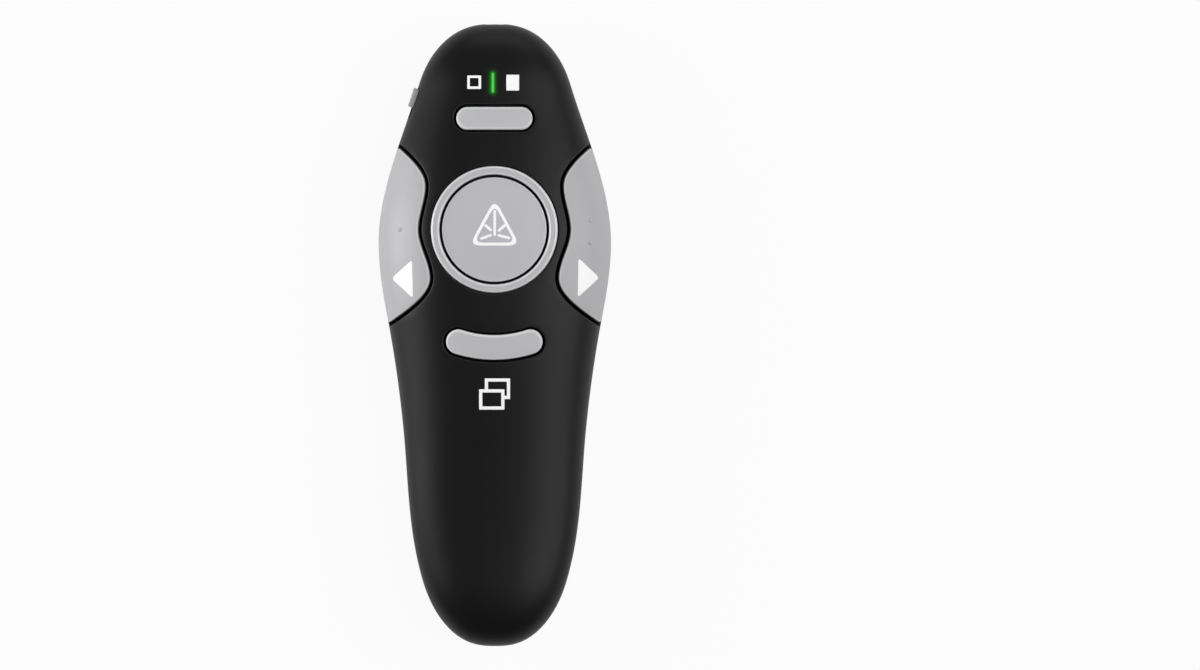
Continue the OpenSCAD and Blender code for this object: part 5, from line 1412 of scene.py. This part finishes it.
# %% [markdown]
# ## The floor
# The remote lies on a pale sheet of paper. The camera should see it white, yet the light that it
# throws back on the object should stay that of paper, so that the black plastic keeps its depth.
# So white is mixed in by the kind of ray: nearly all of it for the camera, and a little for what
# glossy surfaces mirror. The rest is real paper and keeps the shadow. The sheet has one side
# only: from below it isn't there, so the back of the remote can be looked at too.

# %% Floor
PAPER, PAPER_ROUGH, PAPER_HALF = (0.85, 0.85, 0.86, 1), 0.9, 1500
PAPER_WHITE, PAPER_MIRRORED = 0.93, 0.25
WHITE = (1, 1, 1, 1)


def white_seen(tree, surface, seen, glossy, kind="Emission"):
    """Mixes white into a surface or a sky: the share `seen` of it for camera and transmission rays,
    and the share `glossy` for what shiny surfaces mirror of it."""
    path = add(tree, "LightPath").node
    share = 0.0
    for ray, value in (("Is Camera Ray", seen), ("Is Transmission Ray", seen), ("Is Glossy Ray", glossy)):
        share = reckon(tree, "MAXIMUM", reckon(tree, "MULTIPLY", path.outputs[ray], value), share)
    glow = add(tree, kind, {"Color": WHITE, "Strength": 1.0})
    return add(tree, "MixShader", {0: share, 1: surface, 2: glow})


def floor():
    """A large square at height 0, with the paper's material."""
    corners = [(x * PAPER_HALF, y * PAPER_HALF, 0) for x, y in ((-1, -1), (1, -1), (1, 1), (-1, 1))]
    sheet = mesh_object("floor", corners, [[0, 1, 2, 3]], smooth=False)
    mat = bpy.data.materials.new("floor_paper")
    mat.use_nodes = True
    tree = mat.node_tree
    shader = tree.nodes["Principled BSDF"]
    shader.inputs["Base Color"].default_value = PAPER
    shader.inputs["Roughness"].default_value = PAPER_ROUGH
    paper = white_seen(tree, shader.outputs[0], PAPER_WHITE, PAPER_MIRRORED)
    below = add(tree, "NewGeometry", out="Backfacing")
    one_sided = add(tree, "MixShader", {0: below, 1: paper, 2: add(tree, "BsdfTransparent")})
    tree.links.new(one_sided, tree.nodes["Material Output"].inputs["Surface"])
    sheet.data.materials.append(mat)


floor()
print("paper", PAPER_HALF * 2, "mm wide")

# %% [markdown]
# ## The lamps
# The light is plain and soft. A low lamp on the left gives the black body its sheen along that side
# and lights the left paddle. A large weak one high on the right gives the wide soft band on the
# other side, and a weak one beyond the nose separates it from the floor. An even pale sky fills
# the rest. Larger lamps give softer bands, because a rough surface mirrors the whole lamp.

# %% Lamps and sky
AIM = (0, 0, 0.01)
SKY, SKY_STRENGTH = (0.95, 0.96, 1.0, 1), 0.12


def lamp(name, place, wide, tall, power):
    """A rectangular soft lamp at `place`, in metres, that faces the remote."""
    light = bpy.data.lights.new(name, "AREA")
    light.shape, light.size, light.size_y = "RECTANGLE", wide, tall
    light.energy = power
    obj = bpy.data.objects.new(name, light)
    obj.location = place
    obj.rotation_euler = (Vector(AIM) - Vector(place)).to_track_quat("-Z", "Y").to_euler()
    bpy.context.scene.collection.objects.link(obj)


def sky():
    """A pale even world that the camera sees white."""
    world = bpy.data.worlds.new("world")
    bpy.context.scene.world = world
    world.use_nodes = True
    tree = world.node_tree
    air = tree.nodes["Background"]
    air.inputs["Color"].default_value = SKY
    air.inputs["Strength"].default_value = SKY_STRENGTH
    seen = white_seen(tree, air.outputs[0], 1.0, 0.0, "Background")
    tree.links.new(seen, tree.nodes["World Output"].inputs["Surface"])


lamp("key", (-0.42, 0.04, 0.185), 0.22, 0.4, 1.5)
lamp("fill", (0.55, 0.05, 0.6), 0.6, 0.9, 4.6)
lamp("back", (0.1, 0.8, 0.25), 0.7, 0.25, 1.0)
sky()
print(len(bpy.data.lights), "lamps")

# %% [markdown]
# ## The camera
# The camera looks straight down from far away through a long lens, so that the outline of the remote is
# nearly its plan.

# %% Camera
FRAME_WIDE, AIM_X, AIM_Z, LENS, SENSOR = 0.2469, 0.02165, 0.0115, 400, 36


def camera():
    """A camera over (AIM_X, 0) whose picture is FRAME_WIDE across at the height AIM_Z."""
    cam = bpy.data.cameras.new("camera")
    cam.lens, cam.sensor_width = LENS, SENSOR
    eye = bpy.data.objects.new("camera", cam)
    bpy.context.scene.collection.objects.link(eye)
    eye.location = (AIM_X, 0.0, AIM_Z + FRAME_WIDE * LENS / SENSOR)
    bpy.context.scene.camera = eye
    bpy.context.scene.view_settings.view_transform = "Standard"
    print("camera", round(eye.location.z, 2), "m above the floor")


camera()
